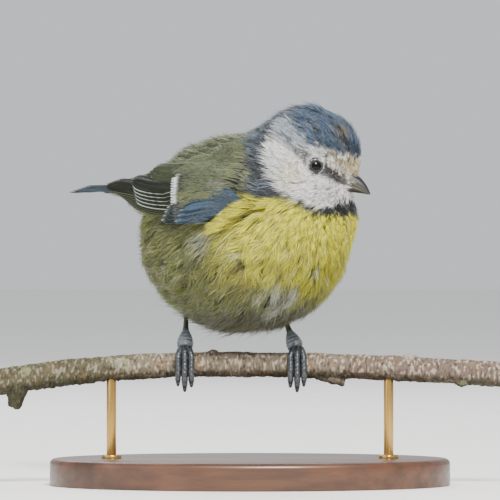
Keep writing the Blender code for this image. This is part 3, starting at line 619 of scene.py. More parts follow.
def coat_depth(points):
    """How deep the feathers stand over the skin, in millimetres."""
    head = mirrored(to_head(points))
    on_head = 1 - eased(np.linalg.norm(head, axis=1), 14.5, 19)
    depth = 2.6 - 1.2 * on_head
    bare = np.minimum(
        np.linalg.norm(head - EYE_PLACE, axis=1) - 2.2,
        np.linalg.norm((head - BILL_ROOT) * (0.7, 1, 1), axis=1) - 1.8,
    )
    return 0.12 + (depth - 0.12) * eased(bare, 0.0, 4.5)


flesh = bmesh.new()
for part in ("head", "neck", "torso"):
    flesh.from_mesh(nodes[part].data)
stump = bmesh.ops.create_icosphere(flesh, subdivisions=3, radius=1)["verts"]
for vertex in stump:
    vertex.co = Vector(body_to_world(np.array([-33.5, 0, 9.4]) + np.array(vertex.co) * (9.0, 8.6, 5.6)))
bmesh.ops.remove_doubles(flesh, verts=flesh.verts, dist=1e-6)
skin = recast("skin", flesh, SWELL, SKIN_VOXEL, 3)
skin_places = numbers(skin.data.vertices, "co")
skin_normals = numbers(skin.data.vertices, "normal")
sunk = skin_places - skin_normals * (coat_depth(skin_places)[:, None] * MM + SWELL)
move_points(skin, sunk)

# Plumage: where the feathers lie
# Every small feather is rooted on the skin and follows the lie of the coat, away from the bill over
# the head, back along the body and down over the breast and belly.

COAT_SEED = 11
rng = np.random.default_rng(COAT_SEED)

bpy.context.view_layer.objects.active = skin
skin.select_set(True)
bpy.ops.object.mode_set(mode="EDIT")
bpy.ops.mesh.select_all(action="SELECT")
bpy.ops.uv.smart_project(angle_limit=math.radians(75), island_margin=0.004)
bpy.ops.object.mode_set(mode="OBJECT")
skin.data.uv_layers[0].name = "OFBake"

skin_places = numbers(skin.data.vertices, "co")
skin_normals = numbers(skin.data.vertices, "normal")
skin_uvs = numbers(skin.data.uv_layers["OFBake"].uv, "vector", 2)
skin_faces = [list(polygon.vertices) for polygon in skin.data.polygons]
skin_corners = [list(polygon.loop_indices) for polygon in skin.data.polygons]
skin_tree = BVHTree.FromPolygons([Vector(p) for p in skin_places], skin_faces)


def on_skin(points):
    """The nearest places on the skin with their outward directions and places on the unwrap."""
    places = np.empty((len(points), 3))
    normals = np.empty((len(points), 3))
    uvs = np.empty((len(points), 2))
    for i, point in enumerate(points):
        place, _, face, _ = skin_tree.find_nearest(Vector(point))
        corners = skin_faces[face]
        weights = interpolate.poly_3d_calc([Vector(skin_places[c]) for c in corners], place)
        places[i] = place
        normals[i] = np.array(weights) @ skin_normals[corners]
        uvs[i] = np.array(weights) @ skin_uvs[skin_corners[face]]
    return places, units(normals), uvs


def lie(points, normals):
    """The direction along the skin in which the feathers point."""
    body = to_body(points)
    head = to_head(points)
    from_bill = units((head - BILL_ROOT - np.array([3.0, 0, 0])) @ HEAD_AXES)
    under = eased(-body[:, 2], -16, 6) * eased(body[:, 0], -30, 4)
    drop = 0.12 + 0.75 * under + 0.5 * eased(body[:, 0], 14, 27)
    backward = np.stack([-np.ones(len(body)), 0.1 * np.sign(body[:, 1]) * under, -drop], axis=1)
    on_head = (1 - eased(np.linalg.norm(head, axis=1), 13.5, 20))[:, None]
    flow = (units(backward) * (1 - on_head) + from_bill * on_head) @ BODY_AXES
    return units(flow - normals * np.sum(flow * normals, axis=1, keepdims=True))


# Plumage: its colours
# The markings are named zones in the head's and the body's own places, in millimetres, with soft
# ragged edges. The skin and the feathers of the head and body take their colours from this one function.

CROWN_BLUE = linear(64, 88, 116)
CROWN_GREY = linear(78, 92, 108)
CROWN_PALE = linear(118, 134, 148)
CROWN_BUFF = linear(132, 120, 98)
CROWN_SLATE = linear(40, 46, 55)
BAND_WHITE = linear(180, 189, 198)
BAND_SLATE = linear(104, 116, 128)
CHEEK_WHITE = linear(240, 240, 238)
CHEEK_YELLOW = linear(222, 216, 164)
CHEEK_GREY = linear(150, 152, 152)
FOREHEAD = linear(230, 228, 218)
BUFF = linear(184, 164, 122)
SLATE = linear(50, 57, 68)
LINE_DARK = linear(46, 47, 48)
BIB_DARK = linear(44, 46, 46)
COLLAR_GREY = linear(112, 124, 136)
NAPE = linear(112, 128, 142)
OLIVE = linear(108, 116, 82)
OLIVE_SHADE = linear(60, 66, 44)
OLIVE_PALE = linear(174, 180, 148)
RUMP = linear(146, 150, 90)
YELLOW = linear(227, 224, 60)
YELLOW_DEEP = linear(186, 172, 48)
YELLOW_PALE = linear(222, 218, 164)
FLANK = linear(108, 114, 45)
# Dusky flank feathers, and the painted shadow under the wing
FLANK_DUSKY_AND_SHADOW = linear(70, 71, 34)
FLANK_PALE = linear(158, 160, 104)
BELLY = linear(126, 131, 82)
FLECK = linear(182, 184, 174)
# Dusky belly feathers, and the painted shade along the belly's lowest edge
DUSKY_AND_SHADE = linear(78, 77, 60)
DOWN = linear(92, 96, 102)

# The collar seen from the side: turn round the point (3.5, 4) of the head in degrees, distance of
# its middle from there, and half its width
COLLAR_MIDDLE = (3.5, 4.0)
COLLAR = np.array([
    (150, 14.2, 1.2), (178, 15.6, 1.4), (192, 15.8, 1.6), (204, 16.6, 1.8), (219, 17.0, 2.1),
    (231, 18.2, 2.9), (243, 17.6, 2.3), (252, 16.2, 0.5), (267, 15.0, 0.2), (281, 15.9, 0.6),
    (295, 17.6, 1.2), (310, 17.6, 1.9),
])
# The dark line through the eye: place ahead, height, half its width, and how dark it is
EYE_LINE = np.array([
    (-12.5, 2.6, 1.2, 0.8), (-9, 2.3, 0.6, 0.55), (-6, 2.0, 0.5, 0.4), (-3.4, 1.6, 0.5, 0.4),
    (-0.5, 1.4, 0.9, 0.75), (1.5, 1.1, 1.2, 0.8), (3.2, 0.4, 1.5, 0.85), (5.9, -0.7, 1.9, 0.9),
    (8.9, -1.2, 1.4, 0.95), (10.7, -1.9, 1.2, 0.95), (13, -3.1, 0.9, 0.9),
])
# The lower edge of the blue crown, and the edge between the olive back and the yellow underparts
CROWN_EDGE = np.array([(-10, 8.6), (-6.5, 8.0), (-2.2, 6.2), (0.6, 5.0), (3.2, 4.1), (8, 3.7), (12.7, 4.2)])
BACK_EDGE = np.array([(-40, 9), (-31, 6.5), (-14, 6), (0, 8), (9, 9), (14, 9.6), (20, 10.6), (24, 12)])
# Places on the body where paler feathers part and show the grey down: place, size and strength
FLECKS = (
    ((5.5, -24.3, -3.4), 5.0, 0.75),
    ((17.8, -8.1, -18.2), 5.0, 0.8),
    ((25.2, -1.6, -11.9), 2.6, 0.6),
    ((13.5, -21.0, -6.8), 3.5, 0.5),
    ((9.7, -22.7, -1.5), 3.0, 0.4),
    ((13.0, -5.0, -22.0), 4.0, 0.55),
    ((3.0, 24.0, -5.0), 4.5, 0.6),
    ((14.0, 18.0, -12.0), 3.5, 0.4),
)


def streaked(colours, streak, *shares):
    """Gives some feathers another colour: each share is (from, to, colour) of the streak number."""
    for start, end, colour in shares:
        colours = blend(colours, ((streak >= start) & (streak < end)).astype(float), colour)
    return colours


def crown_colours(x, y, fine, broad, streak):
    """Blue streaked with slate, greyer to the rear, buff where the feathers part over the forehead."""
    crown = np.tile(np.array(CROWN_BLUE), (len(x), 1))
    crown = blend(crown, eased(-x + broad * 2, 1, 8), CROWN_GREY)
    crown = streaked(crown, streak, (0.0, 0.4, CROWN_SLATE), (0.78, 0.86, CROWN_PALE))
    crown = crown * (1 - 0.3 * eased(x, 2, 8))[:, None]
    buff = np.exp(-((x - 7.6) / 2.6) ** 2) * np.exp(-((y - 4.4) / 1.9) ** 2)
    return blend(crown, 0.85 * buff * (streak > 0.5), CROWN_BUFF)


def face_colours(x, y, z, fine, broad, streak):
    """The head inside the collar: cheeks, pale band, forehead, crown, dark line and bib."""
    face = np.tile(np.array(CHEEK_WHITE), (len(x), 1))
    tinge = 1 - eased(np.hypot(x - 0.5, z + 5.0) + broad * 2, 2.0, 5.5)
    face = blend(face, 0.45 * tinge, CHEEK_YELLOW)
    face = streaked(face, streak, (0.0, 0.09, CHEEK_GREY))
    line_height = np.interp(x, EYE_LINE[:, 0], EYE_LINE[:, 1])
    above = eased(z - line_height, 0.1, 0.9)
    band = streaked(np.tile(np.array(BAND_WHITE), (len(x), 1)), streak, (0.0, 0.36, BAND_SLATE))
    face = face + (band - face) * (above * eased(-x, -6, 2))[:, None]
    brow = streaked(
        np.tile(np.array(FOREHEAD), (len(x), 1)), streak, (0.0, 0.24, CROWN_SLATE), (0.24, 0.42, BUFF)
    )
    face = face + (brow - face) * (above * eased(x, 4, 8))[:, None]
    buff = 1 - eased(np.hypot(x - 12.4, (z - 1.4) * 0.8) + fine * 0.7, 0.5, 1.8)
    face = blend(face, 0.8 * buff, BUFF)
    edge = np.interp(x, CROWN_EDGE[:, 0], CROWN_EDGE[:, 1])
    crown = crown_colours(x, y, fine, broad, streak)
    capped = eased(z + fine * 1.3 + (streak - 0.5) * 1.6 - edge, -0.6, 0.8)
    face = face + (crown - face) * capped[:, None]
    width = np.interp(x, EYE_LINE[:, 0], EYE_LINE[:, 2])
    lined = 1 - eased(np.abs(z - line_height) - width + fine * 0.5, -0.45, 0.5)
    strength = np.interp(x, EYE_LINE[:, 0], EYE_LINE[:, 3])
    face = blend(face, lined * strength * eased(y, 1.5, 3.5) * (streak < 0.93), LINE_DARK)
    from_eye = np.linalg.norm(np.stack([x, y, z], axis=1) - EYE_PLACE, axis=1)
    eye_ring = np.exp(-((from_eye - 2.7) / 0.35) ** 2) * eased(-x, -7.6, -5.5)
    face = blend(face, 0.65 * eye_ring * (streak > 0.3), CHEEK_WHITE)
    bib = 1 - eased(np.linalg.norm(np.stack([(x - 12.2) / 2.8, y / 5.2, (z + 9.4) / 3.0]), axis=0) + fine * 0.5, 0.65, 1.2)
    return blend(face, bib * (streak < 0.62), BIB_DARK)


def markings(points, fine, broad, streak):
    """The feathers' colour at world places. Fine and broad are noise that breaks up the edges, and
    the streak is each feather's own number from 0 to 1."""
    body = to_body(points)
    ahead, leftward, up = body.T
    head = mirrored(to_head(points))
    x, y, z = head.T
    ragged = fine * 0.9

    colours = np.tile(np.array(FLANK), (len(body), 1))
    colours = streaked(colours, streak, (0.0, 0.22, FLANK_DUSKY_AND_SHADOW), (0.8, 0.92, FLANK_PALE))
    uneven = broad * 4 + (streak - 0.5) * 5
    sunny = 2.5 * eased(leftward, -7, 1)
    bright = eased(ahead + uneven, 0, 19) * (1 - eased(-up + uneven - sunny, 11, 23))
    lemon = streaked(np.tile(np.array(YELLOW), (len(body), 1)), streak, (0.0, 0.24, YELLOW_DEEP), (0.88, 0.92, YELLOW_PALE))
    # Painted shade: the yellow darkens lower down the breast and belly, on the underside away from the light.
    lemon = lemon * (1 - 0.36 * eased(-up, 1, 12))[:, None]
    colours = colours + (lemon - colours) * bright[:, None]
    belly = streaked(np.tile(np.array(BELLY), (len(body), 1)), streak, (0.0, 0.3, DUSKY_AND_SHADE), (0.76, 0.86, FLECK))
    low = 0.6 * eased(-up + broad * 4 + (streak - 0.5) * 4, 13, 22)
    colours = colours + (belly - colours) * low[:, None]
    # The belly's lowest edge turns dusky: partly its loose dark feathers, partly painted shade beneath the body.
    colours = blend(colours, 0.75 * eased(-up + broad * 2, 20, 23.5), DUSKY_AND_SHADE)
    colours = blend(colours, 0.35 * eased(-ahead, 24, 34), FLECK)
    # Painted shadow: a dark band on the flank just under the wing's lower edge.
    under_wing = (1 - eased(np.abs(up - 1.5), 1.0, 3.2)) * (1 - eased(np.abs(ahead + 2), 8, 13))
    colours = blend(colours, 0.5 * under_wing, FLANK_DUSKY_AND_SHADOW)
    for place, size, strength in FLECKS:
        near = np.linalg.norm(body - np.array(place), axis=1)
        parted = strength * (1 - eased(near + broad * 3 + fine * 2, size * 0.4, size))
        colours = blend(colours, parted * (streak > 0.3), FLECK)
        colours = blend(colours, parted * (streak < 0.24), DOWN)
    loose = eased(broad + 0.6 * fine, 0.3, 0.8) * (1 - bright) * 0.22
    colours = blend(colours, loose, FLECK)

    back = eased(up + ragged - np.interp(ahead, *BACK_EDGE.T), -1.2, 1.2)
    olive = blend(np.tile(np.array(OLIVE), (len(body), 1)), eased(-ahead, 16, 28), RUMP)
    olive = streaked(olive, streak, (0.0, 0.34, OLIVE_SHADE), (0.8, 0.92, OLIVE_PALE))
    colours = colours + (olive - colours) * back[:, None]
    nape = eased(up + ragged, 17.5, 21.5) * eased(ahead + ragged, 3.5, 8.0)
    pale_nape = streaked(np.tile(np.array(NAPE), (len(body), 1)), streak, (0.0, 0.3, OLIVE_SHADE), (0.3, 0.45, BAND_SLATE))
    colours = colours + (pale_nape - colours) * nape[:, None]

    ring = np.hypot(x - COLLAR_MIDDLE[0], z - COLLAR_MIDDLE[1])
    turn = np.degrees(np.arctan2(z - COLLAR_MIDDLE[1], x - COLLAR_MIDDLE[0])) % 360
    middle = np.interp(turn, COLLAR[:, 0], COLLAR[:, 1])
    inside = 1 - eased(ring + ragged - middle, -0.4, 0.4)
    near_head = 1 - eased(np.linalg.norm(head, axis=1), 22, 25)
    face = face_colours(x, y, z, fine, broad, streak)
    colours = colours + (face - colours) * (inside * near_head)[:, None]

    half = np.interp(turn, COLLAR[:, 0], COLLAR[:, 2])
    collared = 1 - eased(np.abs(ring - middle) - half + fine * 0.9 + (streak - 0.5) * 1.2, -0.8, 0.8)
    known = eased(turn, 140, 155) * (1 - eased(turn, 316, 326))
    dark = blend(np.tile(np.array(SLATE), (len(body), 1)), eased(turn, 262, 285), BIB_DARK)
    dark = streaked(dark, streak, (0.62, 0.8, COLLAR_GREY))
    return colours + (dark - colours) * (collared * near_head * known)[:, None]


# Plumage: the feathers of the head and body
# Each feather is a fan of tapering barbs that spring from one root, rise to the plumage's outline
# and lie along it. Feathers are shortest round the bill and the eyes and longest on the flanks.

PATCH = 0.003
ROOT_SINK = 0.15
STATIONS = 4
FEATHER_GAPS = np.array([(1.5, 0.26), (4, 0.36), (8, 0.48), (14, 0.63), (20, 0.86), (30, 1.1)])
FEATHER_LENGTHS = np.array([(1.5, 0.8), (4, 1.5), (8, 2.5), (14, 3.9), (20, 5.6), (30, 7.4)])
TOWARD_EYE = 0.75
# How far the crown's feathers stand over the rest where their tips lie at a place ahead: raised
# towards the nape, parted by a notch on top
CREST = np.array([
    (-15, 0.5), (-11, 0.5), (-8, 0.3), (-5, 0.25), (-3.6, -0.1), (-2.2, -0.9), (-1.0, -0.9),
    (-0.2, -0.45), (2.0, 0.1), (4.8, 0.0), (7.5, -0.4), (9.5, -0.8),
])
LOCK_STEPS = 9
LOCK_WIDTH = 1.1
EYE_BARE = 2.15


def feather_length(points):
    """In millimetres, at places on the skin."""
    head = mirrored(to_head(points))
    length = np.interp(np.linalg.norm(head - BILL_ROOT, axis=1), *FEATHER_LENGTHS.T)
    from_eye = np.linalg.norm(head - EYE_PLACE, axis=1) - EYE_BARE
    return np.minimum(length, 0.4 + TOWARD_EYE * np.maximum(from_eye, 0))


def feather_gap(points):
    """How far apart the feathers are rooted, in millimetres."""
    head = mirrored(to_head(points))
    gap = np.interp(np.linalg.norm(head - BILL_ROOT, axis=1), *FEATHER_GAPS.T)
    from_eye = np.linalg.norm(head - EYE_PLACE, axis=1) - EYE_BARE
    return np.minimum(gap, 0.22 + 0.1 * np.maximum(from_eye, 0))


def scatter(tries):
    """Places on the skin at least a feather's gap apart, in a random order."""
    quads = np.array([face for face in skin_faces if len(face) == 4])
    corners = skin_places[quads]
    sizes = np.linalg.norm(np.cross(corners[:, 2] - corners[:, 0], corners[:, 3] - corners[:, 1]), axis=1)
    crowd = sizes / feather_gap(corners.mean(axis=1)) ** 2
    chosen = corners[rng.choice(len(quads), tries, p=crowd / crowd.sum())]
    s, t = rng.random((2, tries, 1))
    places = (chosen[:, 0] * (1 - s) + chosen[:, 1] * s) * (1 - t) + (chosen[:, 3] * (1 - s) + chosen[:, 2] * s) * t
    gaps = feather_gap(places) * MM
    cell = gaps.max()
    taken = {}
    kept = []
    for place, gap, key in zip(places.tolist(), gaps.tolist(), np.floor(places / cell).astype(int).tolist()):
        free = True
        for i in (key[0] - 1, key[0], key[0] + 1):
            for j in (key[1] - 1, key[1], key[1] + 1):
                for k in (key[2] - 1, key[2], key[2] + 1):
                    for other in taken.get((i, j, k), ()):
                        if math.dist(other, place) < gap:
                            free = False
        if free:
            taken.setdefault(tuple(key), []).append(place)
            kept.append(place)
    return np.array(kept)


def from_arrays(name, points, triangles):
    mesh = bpy.data.meshes.new(name)
    mesh.vertices.add(len(points))
    mesh.vertices.foreach_set("co", points.astype(np.float32).ravel())
    mesh.loops.add(triangles.size)
    mesh.loops.foreach_set("vertex_index", triangles.astype(np.int32).ravel())
    mesh.polygons.add(len(triangles))
    mesh.polygons.foreach_set("loop_start", np.arange(0, triangles.size, 3, dtype=np.int32))
    mesh.polygons.foreach_set("use_smooth", np.ones(len(triangles), bool))
    mesh.update(calc_edges=True)
    return add_object(name, mesh)


def barb_faces(rings):
    """Triangles of one three-sided barb through a number of rings, then its point."""
    faces = [(0, 1, 2)]
    for ring in range(rings - 1):
        for side in range(3):
            near, beside = ring * 3 + side, ring * 3 + (side + 1) % 3
            faces += [(near, beside + 3, beside), (near, near + 3, beside + 3)]
    last = (rings - 1) * 3
    faces += [(last + side, rings * 3, last + (side + 1) % 3) for side in range(3)]
    return np.array(faces)


def barbs(name, lines, ups, widths, thin=0.45):
    """Tapering barbs along lines of points; ups are outward directions at those points."""
    count, stations = lines.shape[:2]
    rings = stations - 1
    heads = units(np.gradient(lines, axis=1))
    sides = units(np.cross(heads, ups))
    lifts = np.cross(sides, heads)
    turns = np.radians([90, 210, 330])
    around = [
        sides[:, :rings] * math.cos(turn) + lifts[:, :rings] * math.sin(turn) * thin
        for turn in turns
    ]
    rim = lines[:, :rings, None] + np.stack(around, axis=2) * (widths[:, :rings, None, None] / 2)
    points = np.concatenate([rim.reshape(count, rings * 3, 3), lines[:, -1:]], axis=1)
    pattern = barb_faces(rings)
    triangles = (pattern[None] + np.arange(count)[:, None, None] * (rings * 3 + 1)).reshape(-1, 3)
    return from_arrays(name, points.reshape(-1, 3), triangles)


def per_point(values):
    """Values at each barb's stations, as values at its vertices."""
    rings = values.shape[1] - 1
    around = np.repeat(values[:, :rings], 3, axis=1)
    return np.concatenate([around, values[:, -1:]], axis=1).reshape(-1, *values.shape[2:])


wing_trees = {}
for side in ("left", "right"):
    cad_wing = nodes["wing_" + side].data
    wing_trees[side] = BVHTree.FromPolygons(
        [vertex.co for vertex in cad_wing.vertices], [list(polygon.vertices) for polygon in cad_wing.polygons]
    )


def under_wing(points, normals, reach=7 * MM):
    found = np.zeros(len(points), bool)
    for tree in wing_trees.values():
        for i, (point, normal) in enumerate(zip(points, normals)):
            if not found[i]:
                found[i] = tree.ray_cast(Vector(point), Vector(normal), reach)[0] is not None
    return found


def rotated(headings, normals, turn):
    turn = np.reshape(turn, (-1, 1))
    return headings * np.cos(turn) + np.cross(normals, headings) * np.sin(turn)


roots = scatter(42000)
root_head = mirrored(to_head(roots))
root_body = to_body(roots)
bare = np.linalg.norm(root_head - EYE_PLACE, axis=1) < EYE_BARE
bare |= np.linalg.norm((root_head - BILL_ROOT - (1.0, 0, 0.2)) / (2.6, 2.5, 2.2), axis=1) < 1
bare |= root_body[:, 0] < -39.5
roots = roots[~bare]
_, root_normals, _ = on_skin(roots)
flow = lie(roots, root_normals)
across = np.cross(root_normals, flow)
covered = under_wing(roots, root_normals)
for step in (flow, -flow, across, -across):
    covered &= under_wing(roots + step * 3.2 * MM, root_normals)
roots = roots[~covered]

feather_count = len(roots)
lengths = feather_length(roots) * rng.uniform(0.85, 1.15, feather_count)
body = mirrored(to_body(roots))
low_down = eased(-body[:, 2], 14, 24)
lengths = lengths * (1 + 0.45 * low_down)
looseness = eased(lengths, 4.4, 7.0) * (0.3 + 0.7 * eased(-body[:, 2], -8, 8))
swerve = np.radians(rng.normal(0, 5 + 15 * looseness)) + 0.6 * ripple(roots, 6) * looseness
line_places, line_normals, root_uvs = on_skin(roots)
middle_line = [line_places]
middle_normals = [line_normals]
for station in range(1, STATIONS):
    heading = rotated(lie(line_places, line_normals), line_normals, swerve)
    line_places, line_normals, _ = on_skin(line_places + heading * (lengths * MM / (STATIONS - 1))[:, None])
    middle_line.append(line_places)
    middle_normals.append(line_normals)
middle_line = np.stack(middle_line, axis=1)
middle_normals = np.stack(middle_normals, axis=1)
middle_sides = units(np.cross(middle_normals, np.gradient(middle_line, axis=1)))
# Feathers that lie one behind the other have nearly the same streak number, so they form long locks
lock = rng.normal(0, 0.05, feather_count)
for share in np.linspace(0, STATIONS - 1.001, LOCK_STEPS):
    near = int(share)
    spots = middle_line[:, near] + (middle_line[:, near + 1] - middle_line[:, near]) * (share - near)
    lock = lock + ripple(spots, LOCK_WIDTH, 71) / LOCK_STEPS
streaks = np.argsort(np.argsort(lock)) / feather_count
depths = coat_depth(roots)
heights = depths * rng.uniform(0.8, 1.1, feather_count) + 0.7 * looseness * np.maximum(rng.normal(0, 0.5, feather_count), 0)
root_head = mirrored(to_head(roots))
on_top = eased(root_head[:, 2], 4.5, 8)
notched = (on_top > 0.3) & (root_head[:, 0] > 0.6) & (root_head[:, 0] < 6.5)
on_crown = eased(root_head[:, 2], 4.0, 6.0) * (np.linalg.norm(root_head, axis=1) < 16)
lengths = lengths * (1 + 0.35 * on_crown)
lengths = np.where(notched, np.minimum(lengths, root_head[:, 0] + 0.3), lengths)
heights = heights * (1 + (0.5 * streaks - 0.5) * on_crown + 0.15 * (streaks - 0.5))
tips_ahead = root_head[:, 0] - lengths
crests = on_top * np.interp(tips_ahead, CREST[:, 0], CREST[:, 1])
crests = crests + 0.12 * on_crown * np.maximum(rng.normal(0, 1, feather_count), 0)
crests = crests + on_crown * (rng.random(feather_count) < 0.16) * rng.uniform(0.3, 0.9, feather_count)
wisps = (rng.random(feather_count) < 0.12) * low_down
lengths = lengths * (1 + 0.5 * wisps)
crests = crests + wisps * rng.uniform(0.2, 1.6, feather_count)
fine_noise = ripple(roots, 1.3)
broad_noise = ripple(roots, 9, 3.1)


def grow(name, chosen, count, rings):
    """One piece of plumage from the chosen feathers, each a fan of a number of barbs."""
    feathers = np.repeat(np.flatnonzero(chosen), count)
    total = len(feathers)
    fan = np.tile(np.linspace(-1, 1, count), total // count) + rng.normal(0, 0.14, total)
    reach = (1 - 0.2 * fan ** 2) * rng.uniform(0.7, 1.08, total)
    stations = np.linspace(0, 1, rings + 1)
    along = np.clip(reach[:, None] * stations, 0, 1) * (STATIONS - 1)
    near = np.minimum(along.astype(int), STATIONS - 2)
    part = (along - near)[..., None]
    rows = feathers[:, None]
    place = middle_line[rows, near] * (1 - part) + middle_line[rows, near + 1] * part
    normal = units(middle_normals[rows, near] * (1 - part) + middle_normals[rows, near + 1] * part)
    side = units(middle_sides[rows, near] * (1 - part) + middle_sides[rows, near + 1] * part)
    length = lengths[feathers]
    half_width = 0.22 + 0.125 * length
    opening = 0.16 + 0.84 * stations ** 0.75
    curl = rng.normal(0, 0.04 + 0.07 * looseness[feathers]) * length
    out = (fan * half_width)[:, None] * opening + curl[:, None] * stations ** 2
    rise = 1 - (1 - stations) ** 2.2
    stray = (rng.random(total) < 0.14) * rng.uniform(0.03, 0.16, total) * length
    height = heights[feathers][:, None] * rise - ROOT_SINK * (stations == 0)
    height = height + (rng.normal(0, 0.04, total) * length + stray)[:, None] * stations ** 2
    height = height - 0.12 * np.abs(fan)[:, None] * stations + crests[feathers][:, None] * stations ** 1.5
    lines = place + (side * out[..., None] + normal * height[..., None]) * MM
    widths = (0.052 + 0.0162 * length)[:, None] * np.interp(stations, [0, 0.35, 0.8, 1], [0.8, 1, 0.7, 0.1]) * MM
    piece = barbs(name, lines, normal, widths)
    seen = lines[:, -2] * 0.6 + lines[:, -1] * 0.4
    streak = np.abs((streaks[feathers] + rng.normal(0, 0.1, total)) % 1.0)
    colour = markings(seen, fine_noise[feathers] + rng.normal(0, 0.2, total), broad_noise[feathers], streak)
    shade = rng.uniform(0.86, 1.1, total) * (1 + 0.05 * np.repeat(rng.normal(0, 1, total // count), count))
    tips = np.clip(colour * shade[:, None], 0.004, 0.95)
    # Each barb darkens towards its root: partly the grey down at the feather's base, partly painted shade deep in the
    # plumage.
    dark = 0.3 * np.array(DOWN) + 0.4 * colour
    share = eased(stations, 0.1, 0.55)[None, :, None]
    strand = dark[:, None] * (1 - share) + tips[:, None] * share
    patch = np.stack(np.broadcast_arrays((fan / 2)[:, None], stations - 0.5), axis=-1) * PATCH
    tint(piece, per_point(strand), per_point(root_uvs[feathers][:, None] + patch))
    return piece




def feathered(name, roughness, **sockets):
    """A finish that takes its colour from each barb and varies it finely along the barb."""
    made = Finish(name, roughness, **sockets)
    own = made.node("VertexColor", layer_name="Tint").outputs["Color"]
    flicker = made.grain(3200, 2.0)
    made.colour(made.mixed(1.0, own, made.ramp(flicker, (0.3, 0.82), (0.7, 1.14)), "MULTIPLY"))
    made.rough(made.ramp(flicker, (0.3, roughness - 0.08), (0.7, roughness + 0.1)))
    made.bump(flicker, 0.03 * MM, 0.4)
    return made


plume = feathered("plume", 0.78, Specular_IOR_Level=0.25, Sheen_Weight=0.2, Sheen_Roughness=0.4)

root_head = mirrored(to_head(roots))
root_body = to_body(roots)
on_head = np.linalg.norm(root_head - BILL_ROOT, axis=1) < 17
crest = on_head & (root_head[:, 2] > 4.5)
high = root_head[:, 2] > -2.0
left = root_body[:, 1] > 0
head_left = to_head(roots)[:, 1] > 0
mantle = ~on_head & (root_body[:, 2] > 8)
breast = ~on_head & ~mantle & (root_body[:, 0] > 10)
flank = ~on_head & ~mantle & ~breast
pieces = {
    "coat_crown": crest,
    "coat_brow_left": on_head & ~crest & high & head_left,
    "coat_brow_right": on_head & ~crest & high & ~head_left,
    "coat_cheek_left": on_head & ~crest & ~high & head_left,
    "coat_cheek_right": on_head & ~crest & ~high & ~head_left,
    "coat_mantle_left": mantle & left,
    "coat_mantle_right": mantle & ~left,
    "coat_breast_left": breast & left,
    "coat_breast_right": breast & ~left,
    "coat_flank_left": flank & left,
    "coat_flank_right": flank & ~left,
}
for piece_name, chosen in pieces.items():
    head_piece = on_head[chosen].any()
    coat = grow(piece_name, chosen, 15 if head_piece else 14, 2 if head_piece else 3)
    dress(coat, plume)
    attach(coat, "root")

evenly = np.full(len(skin_places), 0.5)
skin_colour = markings(skin_places, ripple(skin_places, 1.3), ripple(skin_places, 9, 3.1), evenly)
# The skin's colour: a little grey down, and the coat's markings at half strength as painted shade deep under the
# feathers.
tint(skin, skin_colour * 0.5 + np.array(DOWN) * 0.15)
dress(skin, plume)
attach(skin, "root")
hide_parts("head", "neck", "torso")

# Wings
# The folded wings lie on the flanks. Each flight feather and covert is a vane: a tapering shaft with
# close barbs on both sides. Soft scapulars fall over the upper part from the back.

WING_LEAVES_BODY = -14.0
WING_END = -43.0
WING_END_REACH = 9.0
WING_LOW = 3.0
WING_RISE = 5.0
WING_END_GIRTH = 9.0
WING_GIRTH_GAIN = 15.5
SHEET_AHEADS = np.arange(-50.0, 25.0, 1.0)
SHEET_TURNS = np.radians(np.arange(-30, 105, 3.0))
FLIGHT_DARK = linear(26, 28, 19)
FLIGHT_EDGE = linear(152, 162, 150)
PRIMARY_EDGE = linear(72, 77, 52)
TERTIAL_DARK = linear(50, 56, 38)
TERTIAL_EDGE = linear(126, 132, 96)
COVERT_BLUE = linear(54, 72, 88)
COVERT_GREY = linear(50, 60, 66)
COVERT_DARK = linear(36, 40, 30)
COVERT_TIP = linear(132, 144, 150)
TIP_WHITE = linear(214, 218, 220)


def wing_line(ahead):
    """The height of the folded wing's lower edge, which rises to the tail."""
    return WING_LOW + WING_RISE * eased(ahead, 0.0, WING_END)


def wing_girth(ahead):
    """A nominal radius that turns the distance up round the flank into an angle."""
    return WING_END_GIRTH + WING_GIRTH_GAIN * eased(ahead, WING_END, -6.0)


body_bm = bmesh.new()
for part in ("torso", "neck"):
    body_bm.from_mesh(nodes[part].data)
outline_tree = BVHTree.FromBMesh(body_bm)
body_bm.free()


def flank_reach(ahead, turn, side):
    """How far out the plumage's outline is from the line inside the wings, at an angle upwards."""
    out = np.array([0.0, side * math.cos(turn), math.sin(turn)])
    far = np.array([ahead, 0.0, wing_line(ahead)]) + out * 45
    hit = outline_tree.ray_cast(Vector(body_to_world(far)), Vector(-out @ BODY_AXES), 45 * MM)
    return 0.0 if hit[0] is None else 45 - hit[3] / MM


def smoothed(table, rounds=3):
    """Evens out a grid of numbers along both its ways."""
    for _ in range(rounds):
        for axis in (0, 1):
            padded = np.pad(table, [(1, 1) if axis == n else (0, 0) for n in (0, 1)], mode="edge")
            table = (padded.take(range(0, table.shape[axis]), axis) + padded.take(range(2, table.shape[axis] + 2), axis)
                     + 2 * table) / 4
    return table


